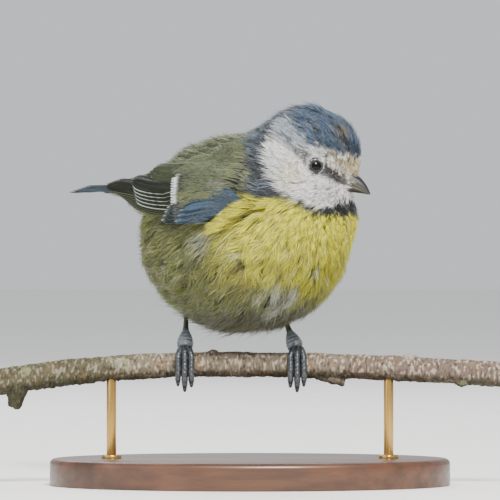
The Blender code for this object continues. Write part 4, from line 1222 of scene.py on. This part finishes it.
def wing_sheet(side):
    """The wing's own surface: a function from (ahead, distance round, lift) to the world."""
    reach = np.array([[flank_reach(a, t, side) for t in SHEET_TURNS] for a in SHEET_AHEADS])
    reach = smoothed(reach)
    leave = int(WING_LEAVES_BODY - SHEET_AHEADS[0])
    start, slope = reach[leave], (reach[leave] - reach[leave - 2]) / 2
    span = WING_LEAVES_BODY - WING_END
    for i in range(leave):
        s = min((WING_LEAVES_BODY - SHEET_AHEADS[i]) / span, 1.1)
        curve = (2 * s ** 3 - 3 * s ** 2 + 1) * start - (s ** 3 - 2 * s ** 2 + s) * slope * span
        curve = curve + (3 * s ** 2 - 2 * s ** 3) * WING_END_REACH
        reach[i] = np.maximum(curve, reach[i] if SHEET_AHEADS[i] > -30 else 0)
    reach = smoothed(reach)
    aheads, turns = np.meshgrid(SHEET_AHEADS, SHEET_TURNS, indexing="ij")
    lines = wing_line(SHEET_AHEADS)[:, None]
    points = np.stack([aheads, side * reach * np.cos(turns), lines + reach * np.sin(turns)], axis=-1)
    normals = units(np.cross(np.gradient(points, axis=1), np.gradient(points, axis=0))) * side

    def read(table, i, j):
        low_i, low_j = i.astype(int), j.astype(int)
        part_i, part_j = (i - low_i)[..., None], (j - low_j)[..., None]
        near = table[low_i, low_j] * (1 - part_j) + table[low_i, low_j + 1] * part_j
        far = table[low_i + 1, low_j] * (1 - part_j) + table[low_i + 1, low_j + 1] * part_j
        return near * (1 - part_i) + far * part_i

    def place(ahead, round_up, lift):
        i = np.clip(ahead - SHEET_AHEADS[0], 0, len(SHEET_AHEADS) - 1.001)
        turn = round_up / wing_girth(ahead)
        j = np.clip((turn - SHEET_TURNS[0]) / np.radians(3.0), 0, len(SHEET_TURNS) - 1.001)
        normal = units(read(normals, i, j))
        return body_to_world(read(points, i, j) + normal * lift[..., None]), normal @ BODY_AXES

    return place


RIM = 1.3


def vane_outline(along, blunt):
    """Half the vane's width at a share of its length: narrow at the quill, full, then rounded off."""
    quill = np.minimum(1.0, 0.35 + 0.65 * (along / 0.22))
    start = 1 - blunt
    rounding = np.clip((along - start) / blunt, 0, 1)
    return quill * np.sqrt(np.maximum(1 - rounding ** 2.3, 0))


def vane_barbs(sheet, root, tip, width, lifts, bow, paint, spacing=0.3, blunt=0.3, camber=0.12):
    """Lines, outward directions, widths, colours and map places of one vane's barbs, and the same
    of its shaft with the fine rims along its two edges."""
    root, tip = np.array(root, float), np.array(tip, float)
    length = np.linalg.norm(tip - root)
    heading = (tip - root) / length
    aside = np.array([-heading[1], heading[0]])
    count = int(length / spacing)
    starts = np.linspace(0.03, 0.965, count)
    shape = np.array([0.0, 0.5, 1.0])
    found = []
    for hand in (-1, 1):
        half = width / 2 * vane_outline(starts, blunt)
        ends = np.minimum(starts + half * 1.5 / length, 1.02)
        out_end = width / 2 * vane_outline(np.minimum(ends, 1), blunt) + 0.05
        jitter = rng.normal(0, 0.12, count)[:, None] * shape
        along = starts[:, None] + (ends - starts)[:, None] * shape ** 1.15 + jitter / length
        out = out_end[:, None] * shape ** 0.92
        lift = lifts[0] + (lifts[1] - lifts[0]) * along - camber * (out / (width / 2)) ** 2
        lift = lift + 0.05 * np.sin(starts * 40)[:, None] * shape
        spot = root + (along * length)[..., None] * heading
        spot = spot + (bow * np.sin(math.pi * np.clip(along, 0, 1)) + hand * out)[..., None] * aside
        lines, ups = sheet(spot[..., 0], spot[..., 1], lift)
        colours = paint(along, out / (width / 2), hand * np.sign(aside[1]))
        widths = np.broadcast_to(np.array([1.5, 1.6, 1.0]) * spacing * MM, along.shape)
        found.append((lines, ups, widths, colours, np.stack([hand * out / width, along], axis=-1)))
    drawn = []
    for hand in (-1, 0, 1):
        along = np.linspace(-0.02 if hand == 0 else 0.12, 0.97, 9)[None]
        out = abs(hand) * width / 2 * vane_outline(along, blunt)
        spot = root + (along * length)[..., None] * heading
        spot = spot + (bow * np.sin(math.pi * np.clip(along, 0, 1)) + hand * out)[..., None] * aside
        lift = lifts[0] + (lifts[1] - lifts[0]) * along + 0.08 - camber * (out / (width / 2)) ** 2
        lines, ups = sheet(spot[..., 0], spot[..., 1], lift)
        if hand == 0:
            thick = np.linspace(0.42, 0.1, 9)[None] * MM * min(1.0, width / 4)
        else:
            thick = np.linspace(0.2, 0.34, 9)[None] * MM
        tones = paint(along, np.full_like(along, RIM * abs(hand)), hand * np.sign(aside[1]))
        tones = tones * (0.7 if hand == 0 else 1.0)
        drawn.append((lines, ups, thick, tones, np.stack([hand * out / width, along], axis=-1)))
    return [[np.concatenate(parts) for parts in zip(*some)] for some in (found, drawn)]


def lay_vanes(name, rows):
    """Makes a piece of all the vanes' barbs and another of their shafts. Each vane has its own
    strip of the map, the quill at its foot."""
    barb_sets, shafts = zip(*rows)
    made = []
    for suffix, sets in (("", barb_sets), ("_shafts", shafts)):
        lines, ups, widths, colours, spots = [np.concatenate(parts) for parts in zip(*sets)]
        strip = np.repeat(np.arange(len(sets)), [len(one[0]) for one in sets])[:, None]
        across_map = (strip + 0.5 + 0.8 * spots[..., 0]) / len(sets)
        piece = barbs(name + suffix, lines, ups, widths, thin=0.5)
        tint(piece, per_point(colours), per_point(np.stack([across_map, spots[..., 1]], axis=-1)))
        dress(piece, vane_finish)
        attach(piece, "root")
        made.append(piece)
    return made


def edged(main, edge, edge_side, edge_from, tip_colour=None, tip_from=1.1, noise_size=0.1):
    """A way to paint a vane: a main colour, one edge of another, and perhaps a tip."""
    main, edge = np.array(main), np.array(edge)

    def paint(along, out, hand):
        shade = 1 + rng.normal(0, noise_size, along.shape[0])[:, None, None]
        at_edge = eased(out, edge_from - 0.08, edge_from + 0.08) * (hand == edge_side)
        colours = main + (edge - main) * at_edge[..., None]
        if tip_colour is not None:
            colours = colours + (np.array(tip_colour) - colours) * eased(along, tip_from - 0.04, tip_from + 0.04)[..., None]
        return colours * shade

    return paint


def spread(first, last, count):
    return [np.array(first) + (np.array(last) - np.array(first)) * i / max(count - 1, 1) for i in range(count)]


# Rows of the folded wing from the innermost outwards: count, first and last root and tip as (ahead,
# distance round), width, lifts of the first root and tip, the next feather's rise, bow and paint
LOWER_EDGE = -1
UPPER_EDGE = 1
ONLY_RIM = 1.1
WING_ROWS = {
    "primaries": (8, (8, 2.5), (3, 6.0), (-32, 1.2), (-43, 3.6), 4.2, (1.2, 0.6), 0.16, -0.6, 0.3,
                  edged(FLIGHT_DARK, PRIMARY_EDGE, LOWER_EDGE, ONLY_RIM)),
    "secondaries": (5, (3, 4.6), (-1, 8.4), (-25, 3.4), (-29, 6.6), 4.4, (1.5, 1.9), 0.17, -0.1, 0.25,
                    edged(FLIGHT_DARK, FLIGHT_EDGE, LOWER_EDGE, ONLY_RIM)),
    "tertials": (6, (1, 9.2), (3, 14.0), (-26, 6.8), (-17.5, 13.0), 4.4, (1.8, 1.9), 0.09, 0.3, 0.3,
                 edged(TERTIAL_DARK, TERTIAL_EDGE, UPPER_EDGE, ONLY_RIM)),
    "greater_coverts": (12, (10, 2.6), (6, 10.6), (-1.8, 2.4), (-4.4, 9.8), 2.8, (1.8, 2.6), 0.05, 0.0, 0.1,
                        edged(COVERT_DARK, COVERT_GREY, LOWER_EDGE, 0.6, TIP_WHITE, 0.86)),
    "median_coverts": (3, (15, 5.6), (14, 7.4), (3.2, 2.8), (3.4, 5.4), 3.2, (1.8, 2.6), 0.05, 0.0, 0.35,
                       edged(COVERT_BLUE, COVERT_GREY, LOWER_EDGE, 0.7)),
    "primary_coverts": (4, (11, 1.4), (11, 3.6), (-5.0, -0.6), (-3.0, 2.4), 2.6, (1.8, 2.2), 0.18, -0.4, 0.25,
                        edged(COVERT_DARK, COVERT_GREY, LOWER_EDGE, 0.6, COVERT_TIP, 0.96)),
    "alula": (3, (13, 1.6), (13, 3.8), (0.5, -0.8), (2.0, 1.6), 2.4, (2.2, 2.9), 0.2, -0.4, 0.3,
              edged(COVERT_BLUE, COVERT_GREY, LOWER_EDGE, 0.7, COVERT_TIP, 0.97)),
}
# Where the small blue coverts and the soft scapulars are rooted: the lowest and highest distance
# round at places ahead
BLUE_PATCH = np.array([(1.8, 0.6, 3.4), (4, -0.4, 3.8), (9, -0.7, 4.8), (13, 2.0, 6.6), (15.4, 3.9, 6.4), (16.6, 5.0, 5.9)])
SCAPULAR_PATCH = np.array([
    (-12, 14.6, 18.5), (-4, 14.8, 19), (1.6, 13.4, 20), (2.4, 8.0, 20.5), (4, 6.6, 22), (5.6, 4.8, 24),
    (9, 6.0, 26), (11.5, 7.0, 25), (12.8, 7.6, 22), (13.6, 8.4, 14),
])
OVERLAP_PATCH = np.array([(12.2, -2.4, -1.0), (13.5, -2.0, 0.8), (15.5, -0.2, 3.0), (17.5, 2.4, 5.2), (19.0, 4.4, 6.4)])


def patch_roots(patch, spacing):
    """Places spread over a patch of the wing, at random but no two close together."""
    low, high = patch.min(axis=0), patch.max(axis=0)
    tries = rng.uniform((low[0], low[1]), (high[0], high[2]), (int(40 * (high[0] - low[0]) * 20 / spacing ** 2), 2))
    kept = []
    for spot in tries:
        within = np.interp(spot[0], patch[:, 0], patch[:, 1]) <= spot[1] <= np.interp(spot[0], patch[:, 0], patch[:, 2])
        if within and all(abs(spot[0] - other[0]) + abs(spot[1] - other[1]) > spacing for other in kept[-400:]):
            kept.append(spot)
    return np.array(kept)


def soft_patch(name, sheet, spots, length, drop, lifts, count, half_width, width, paint):
    """Small loose feathers on a sheet, each a fan of barbs like those of the body."""
    feathers = np.repeat(np.arange(len(spots)), count)
    total = len(feathers)
    fan = np.tile(np.linspace(-1, 1, count), len(spots)) + rng.normal(0, 0.1, total)
    own = (rng.uniform(0.85, 1.15, len(spots)) * length)[feathers]
    reach = own * (1 - 0.25 * fan ** 2) * rng.uniform(0.85, 1.05, total)
    slant = np.radians(drop + rng.normal(0, 5, len(spots)))[feathers]
    stations = np.linspace(0, 1, 4)
    out = (fan * half_width)[:, None] * (0.15 + 0.85 * stations ** 0.8)
    run = reach[:, None] * stations
    ahead = spots[feathers, 0, None] - run * np.cos(slant)[:, None] + out * np.sin(slant)[:, None]
    round_up = spots[feathers, 1, None] - run * np.sin(slant)[:, None] - out * np.cos(slant)[:, None]
    low, high = [np.broadcast_to(value, len(spots))[feathers, None] for value in lifts]
    lift = low + (high - low) * (1 - (1 - stations) ** 2) + rng.normal(0, 0.12, (total, 1)) * stations
    lines, ups = sheet(ahead, round_up, lift)
    widths = np.broadcast_to(width * np.array([0.8, 1.0, 0.8, 0.1]) * MM, lift.shape)
    piece = barbs(name, lines, ups, widths)
    root_places, _ = sheet(spots[:, 0], spots[:, 1], np.zeros(len(spots)))
    _, _, uvs = on_skin(root_places)
    patch = np.stack(np.broadcast_arrays((fan / 2)[:, None], stations - 0.5), axis=-1) * PATCH
    tint(piece, per_point(paint(ahead, round_up, feathers, stations)), per_point(uvs[feathers][:, None] + patch))
    dress(piece, plume)
    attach(piece, "root")
    return piece


def soft_paint(tone, base):
    """Paints small feathers from a dark root, partly grey down and partly painted shade deep in the plumage, to their
    own tone of a colour that varies by place.
    """

    def paint(ahead, round_up, feathers, stations):
        own = rng.normal(1, 0.16, feathers.max() + 1)[feathers] * rng.normal(1, 0.1, len(feathers))
        tips = tone(ahead, round_up) * own[:, None, None]
        share = eased(stations, 0.1, 0.6)[None, :, None]
        return np.clip(np.array(base) * (1 - share) + tips * share, 0.004, 0.95)

    return paint


def scapular_tone(ahead, round_up):
    olive = np.broadcast_to(np.array(OLIVE), (*ahead.shape, 3))
    pale = 1 - eased(np.hypot((ahead - 9.5) / 3.0, (round_up - 9.0) / 1.6), 0.5, 1.3)
    olive = olive + (np.array(FLECK) * 0.75 - olive) * (0.35 * pale)[..., None]
    low = 1 - eased(round_up, 5, 8)
    return olive + (np.array(RUMP) - olive) * (0.5 * low)[..., None]


def blue_tone(ahead, round_up):
    blue = np.broadcast_to(np.array(COVERT_BLUE), (*ahead.shape, 3))
    grey = 1 - eased(ahead, 0, 8)
    return blue + (np.array(COVERT_GREY) - blue) * (0.8 * grey)[..., None]


def yellow_tone(ahead, round_up):
    deep = rng.random((len(ahead), 1, 1)) < 0.3
    return np.where(deep, np.array(YELLOW_DEEP), np.array(YELLOW)) * np.ones((*ahead.shape, 1))


vane_finish = feathered("vane", 0.62, Specular_IOR_Level=0.18)

for side, hand in (("left", 1), ("right", -1)):
    sheet = wing_sheet(hand)
    for row, (count, root, last_root, tip, last_tip, width, lifts, climb, bow, blunt, paint) in WING_ROWS.items():
        feathers = []
        for i, (start, end) in enumerate(zip(spread(root, last_root, count), spread(tip, last_tip, count))):
            raised = (lifts[0] + climb * i * 0.6, lifts[1] + climb * i)
            feathers.append(vane_barbs(sheet, start, end, width, raised, bow, paint, blunt=blunt))
        made = lay_vanes("%s_%s" % (row, side), feathers)
        if row == "primaries":
            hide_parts("wing_" + side)
    soft_patch("blue_coverts_" + side, sheet, patch_roots(BLUE_PATCH, 0.85), 3.6, 6.0, (0.2, 2.9), 13, 0.9, 0.15,
               soft_paint(blue_tone, linear(50, 56, 66)))
    spots = patch_roots(SCAPULAR_PATCH, 0.95)
    over_wing = 3.1 - 2.4 * eased(spots[:, 1], 14.5, 20) * eased(spots[:, 0], -2, 4)
    over_wing = over_wing - 2.6 * eased(spots[:, 1], 13.5, 16.5) * (1 - eased(spots[:, 0], -3, 2))
    soft_patch("scapulars_" + side, sheet, spots, 6.2, 22.0, (-1.2, over_wing), 13, 0.95, 0.15,
               soft_paint(scapular_tone, linear(80, 82, 72)))
    soft_patch("breast_overlap_" + side, sheet, patch_roots(OVERLAP_PATCH, 0.8), 4.8, 24.0, (-1.8, 2.9), 13, 0.8, 0.12,
               soft_paint(yellow_tone, linear(120, 112, 60)))

# Tail
# Twelve feathers lie nearly level behind the wings' tips, with coverts over and under their roots.

TAIL_GREY = linear(50, 58, 60)
TAIL_EDGE = linear(66, 78, 88)
UNDERTAIL = linear(196, 194, 168)


def tail_sheet(ahead, aside, lift):
    """The closed tail: nearly level, its sides drooping like a low roof."""
    up = 12.9 - 0.009 * aside ** 2 + 0.012 * (ahead + 31) + lift
    normal = np.stack([np.zeros_like(up), 0.018 * aside, np.ones_like(up)], axis=-1)
    return body_to_world(np.stack([ahead, aside, up], axis=-1)), units(normal) @ BODY_AXES


feathers = []
for pair in range(6):
    for hand in (1, -1):
        level = -0.27 * pair - (0.13 if hand > 0 else 0.0)
        feathers.append(vane_barbs(
            tail_sheet, (-31.0, hand * (0.4 + 0.45 * pair)), (-58.4 - 0.3 * pair, hand * (1.2 + 1.05 * pair)),
            5.4, (level, level), hand * 0.4, edged(TAIL_GREY, TAIL_EDGE, hand, 0.8), blunt=0.2, camber=0.15,
        ))
tail = lay_vanes("tail_feathers", feathers)
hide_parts("tail")


def covert_spots(first, last, half, spacing):
    spots = np.array([(a, b) for a in np.arange(last, first, spacing) for b in np.arange(-half, half + 0.1, spacing)])
    return spots + rng.normal(0, spacing * 0.25, spots.shape)


def tail_over(ahead, aside, lift):
    return tail_sheet(ahead, aside, lift + 0.25 * np.maximum(0, ahead + 46) ** 0.9 * (1 - (aside / 9) ** 2))


def tail_under(ahead, aside, lift):
    depth = 2.6 + 0.36 * np.maximum(0, ahead + 46) ** 1.05
    places, ups = tail_sheet(ahead, aside, -lift - depth * (1 - 0.4 * (aside / 6) ** 2))
    return places, -ups


RUMP_GREEN = linear(104, 110, 74)
soft_patch("tail_coverts_above", tail_over, covert_spots(-28, -41, 5.0, 1.1), 7.0, 0.0, (-0.3, 0.6), 9, 1.0, 0.25,
           soft_paint(lambda a, b: np.broadcast_to(np.array(RUMP_GREEN), (*a.shape, 3)), linear(84, 88, 80)))
soft_patch("tail_coverts_below", tail_under, covert_spots(-29, -42, 4.6, 1.1), 7.0, 0.0, (-0.4, 0.4), 9, 1.0, 0.25,
           soft_paint(lambda a, b: np.broadcast_to(np.array(UNDERTAIL), (*a.shape, 3)), linear(110, 112, 104)))

# Bill
# Two mandibles of dark horn, the upper a little longer and hooked over the lower, with paler cutting
# edges. Buff and white bristles cover the nostrils and the gape.

BILL_BASE = np.array([12.2, 0.0, -3.1])
BILL_LENGTH = 6.7
BILL_WIDTH = 4.7
BILL_RISE = 2.65
BILL_DEPTH = 2.1
BILL_STATIONS = 41
BILL_SEGMENTS = 40
HORN_DARK = linear(24, 25, 27)
HORN_OLIVE = linear(40, 38, 29)
HORN_EDGE = linear(100, 94, 76)
horn = Finish("bill_horn", 0.4, Specular_IOR_Level=0.4)
horn_grain = horn.grain(1400, 4.0, (1, 1, 1))
horn_tint = horn.node("VertexColor", layer_name="Tint").outputs["Color"]
horn.colour(horn.mixed(0.5, horn_tint, horn.ramp(horn_grain, (0.3, 0.7), (0.7, 1.2)), "MULTIPLY"))
horn.rough(horn.ramp(horn_grain, (0.3, 0.34), (0.7, 0.5)))
horn.bump(horn_grain, 0.02 * MM, 0.4)
for node, upper in (("bill_upper", True), ("bill_lower", False)):
    bill_bm = bmesh.new()
    made = bmesh.ops.create_uvsphere(bill_bm, u_segments=BILL_SEGMENTS, v_segments=BILL_STATIONS - 1, radius=1)["verts"]
    sign = 1 if upper else -1
    length = BILL_LENGTH if upper else BILL_LENGTH * 0.93
    tall = BILL_RISE if upper else BILL_DEPTH
    shades = []
    for vertex in made:
        s = math.acos(max(-1, min(1, vertex.co.z))) / math.pi
        turn = math.atan2(vertex.co.y, vertex.co.x)
        width = BILL_WIDTH / 2 * (1 - 0.93 * s ** 1.15)
        height = tall * (1 - 0.93 * s ** (1.7 if upper else 1.3))
        line = -0.6 * s ** 2 - 0.5 * s ** 6 * (1 if upper else 0.4) + sign * 0.1
        round_in = 0.0 if s in (0.0, 1.0) else 1.0
        out = math.cos(turn)
        over = math.sin(turn) * sign
        bulge = over if over > 0 else over * 0.08
        ridge = 1 + 0.06 * max(0.0, over) ** 8
        place = np.array([
            BILL_BASE[0] + s * length,
            width * round_in * math.copysign(abs(out) ** 0.9, out),
            BILL_BASE[2] + line + sign * height * round_in * bulge * ridge,
        ])
        vertex.co = Vector(head_to_world(place))
        edge = math.exp(-((over - 0.06) / 0.2) ** 2)
        shades.append((s, over, edge))
    bmesh.ops.recalc_face_normals(bill_bm, faces=bill_bm.faces)
    bill = from_bmesh("horn_" + node, bill_bm)
    s, over, edge = np.array(shades).T
    tone = np.tile(np.array(HORN_DARK if upper else HORN_OLIVE), (len(s), 1))
    tone = blend(tone, (0.5 if upper else 0.8) * edge, HORN_EDGE)
    if not upper:
        tone = blend(tone, 0.8 * eased(over, 0.5, 0.9), HORN_DARK)
    tint(bill, tone)
    dress(bill, horn)
    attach(bill, "root")
    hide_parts(node)

# Eyes
# Near-black glossy balls set deep behind a thin dark lid, with a broken ring of tiny pale feathers.

eye_finish = Finish("dark_eye", 0.04, Specular_IOR_Level=0.16)
eye_grain = eye_finish.grain(900, 3.0)
eye_finish.colour(eye_finish.ramp(eye_grain, (0.35, linear(7, 7, 6)), (0.7, linear(16, 14, 11))))
lid_finish = Finish("lid_skin", 0.7, Specular_IOR_Level=0.25)
lid_grain = lid_finish.grain(2600, 3.0)
lid_finish.colour(lid_finish.ramp(lid_grain, (0.35, linear(26, 27, 29)), (0.7, linear(54, 55, 57))))
lid_finish.bump(lid_grain, 0.06 * MM, 0.8)
brow_finish = Finish("pale_eye_ring", 0.8, Specular_IOR_Level=0.2)
brow_grain = brow_finish.grain(1500, 3.0)
brow_finish.colour(brow_finish.ramp(brow_grain, (0.42, linear(56, 58, 60)), (0.6, linear(170, 171, 168))))
brow_finish.bump(brow_grain, 0.08 * MM, 0.8)
# Each ring round the eye: its opening, its thickness, how far it lies out, and its finish
EYE_RINGS = {"lid": (1.26, 0.22, 0.1, lid_finish), "pale_ring": (1.66, 0.2, -0.02, brow_finish)}
head_rim = numbers(nodes["head"].data.vertices, "co") / MM
for side in ("left", "right"):
    low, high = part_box("eye_" + side)
    centre = np.array((low + high) / 2) / MM
    radius = (high.z - low.z) / 2 / MM
    eye_bm = bmesh.new()
    bmesh.ops.create_icosphere(eye_bm, subdivisions=5, radius=radius * MM)
    bmesh.ops.translate(eye_bm, verts=eye_bm.verts, vec=Vector(centre * MM))
    eye = from_bmesh("eyeball_" + side, eye_bm)
    dress(eye, eye_finish)
    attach(eye, "root")
    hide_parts("eye_" + side)
    from_eye = head_rim - centre
    rim = from_eye[np.abs(np.linalg.norm(from_eye, axis=1) - radius - 1.2) < 0.9]
    out = np.linalg.svd(rim - rim.mean(axis=0))[2][2]
    out = out * np.sign(out @ rim.mean(axis=0))
    first = units(np.cross((0, 0, 1), out))
    second = np.cross(out, first)
    turns = np.linspace(0, 2 * math.pi, 73)[:-1]
    for ring_name, (opening, tube, proud, finish) in EYE_RINGS.items():
        lift = math.sqrt(radius ** 2 - opening ** 2) + proud
        oval = opening * (1 + 0.05 * np.cos(2 * turns)) + 0.6 * tube
        ring_bm = bmesh.new()
        profile = bmesh.ops.create_circle(ring_bm, segments=12, radius=1)["verts"]
        loops = []
        for turn, reach in zip(turns, oval):
            outward = np.cos(turn) * first + np.sin(turn) * second
            spot = centre + out * lift + outward * reach
            loops.append([spot + tube * (1.25 * v.co.x * outward + v.co.y * out) for v in profile])
        bmesh.ops.delete(ring_bm, geom=profile, context="VERTS")
        torus = [[ring_bm.verts.new(Vector(p * MM)) for p in loop] for loop in loops]
        for near, far in zip(torus, torus[1:] + torus[:1]):
            for i in range(12):
                ring_bm.faces.new((near[i], near[(i + 1) % 12], far[(i + 1) % 12], far[i]))
        bmesh.ops.recalc_face_normals(ring_bm, faces=ring_bm.faces)
        ring = from_bmesh("%s_%s" % (ring_name, side), ring_bm)
        dress(ring, finish)
        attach(ring, "root")

# Bristles
# Short stiff feathers that spring from the face and lie over the bill's root: buff and dark above
# the nostrils, white at the gape, and dark under the chin.

BRISTLE_COUNT = 420
bristle_rng = np.random.default_rng(5)
round_bill = np.radians(bristle_rng.uniform(-90, 270, BRISTLE_COUNT))
over = np.sin(round_bill)
beside = np.cos(round_bill)
reach = np.where(over > 0.2, 2.6, 2.0) * bristle_rng.uniform(0.5, 1.05, BRISTLE_COUNT)
reach = reach * np.where(np.abs(over) < 0.35, 1.25, 1.0)
stations = np.linspace(0, 1, 4)
clear = bristle_rng.uniform(0.12, 0.55, BRISTLE_COUNT)
from_root = -0.9 + (reach + 0.9)[:, None] * stations
taper = 1 - 0.62 * np.clip(from_root / BILL_LENGTH, 0, 1)
wide = (BILL_WIDTH / 2 * taper + 0.15 + clear[:, None] * (0.4 + stations)) * beside[:, None]
tall = np.where(over > 0, BILL_RISE, BILL_DEPTH)[:, None] * taper + 0.15 + clear[:, None] * (0.4 + stations)
spots = np.stack([BILL_BASE[0] + from_root, wide, BILL_BASE[2] + tall * over[:, None]], axis=-1)
spots = spots + bristle_rng.normal(0, 0.12, (BRISTLE_COUNT, 1, 3)) * stations[None, :, None]
outward = np.stack([np.zeros(BRISTLE_COUNT), beside, over], axis=-1) @ HEAD_AXES @ BODY_AXES
bristle_ups = np.repeat(outward[:, None], 4, axis=1)
bristle_widths = np.broadcast_to(np.array([0.11, 0.1, 0.07, 0.02]) * MM, (BRISTLE_COUNT, 4))
bristles = barbs("bristles", head_to_world(spots), bristle_ups, bristle_widths)
pick = bristle_rng.random(BRISTLE_COUNT)
tone = np.tile(np.array(CHEEK_WHITE), (BRISTLE_COUNT, 1))
tone = blend(tone, (over > 0.3) * (pick < 0.55), BUFF)
tone = blend(tone, (over > 0.1) * (pick > 0.72), LINE_DARK)
tone = blend(tone, (np.abs(over) < 0.3) * (pick > 0.5), CHEEK_GREY)
tone = blend(tone, (over < -0.45) * (pick < 0.6), BIB_DARK)
tone = tone * bristle_rng.uniform(0.75, 1.05, BRISTLE_COUNT)[:, None]
_, _, bristle_uvs = on_skin(head_to_world(spots[:, 0]))
patch = np.stack(np.broadcast_arrays(np.zeros((BRISTLE_COUNT, 1)), stations - 0.5), axis=-1) * PATCH
tint(bristles, per_point(np.repeat(tone[:, None], 4, axis=1)), per_point(bristle_uvs[:, None] + patch))
dress(bristles, plume)
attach(bristles, "root")
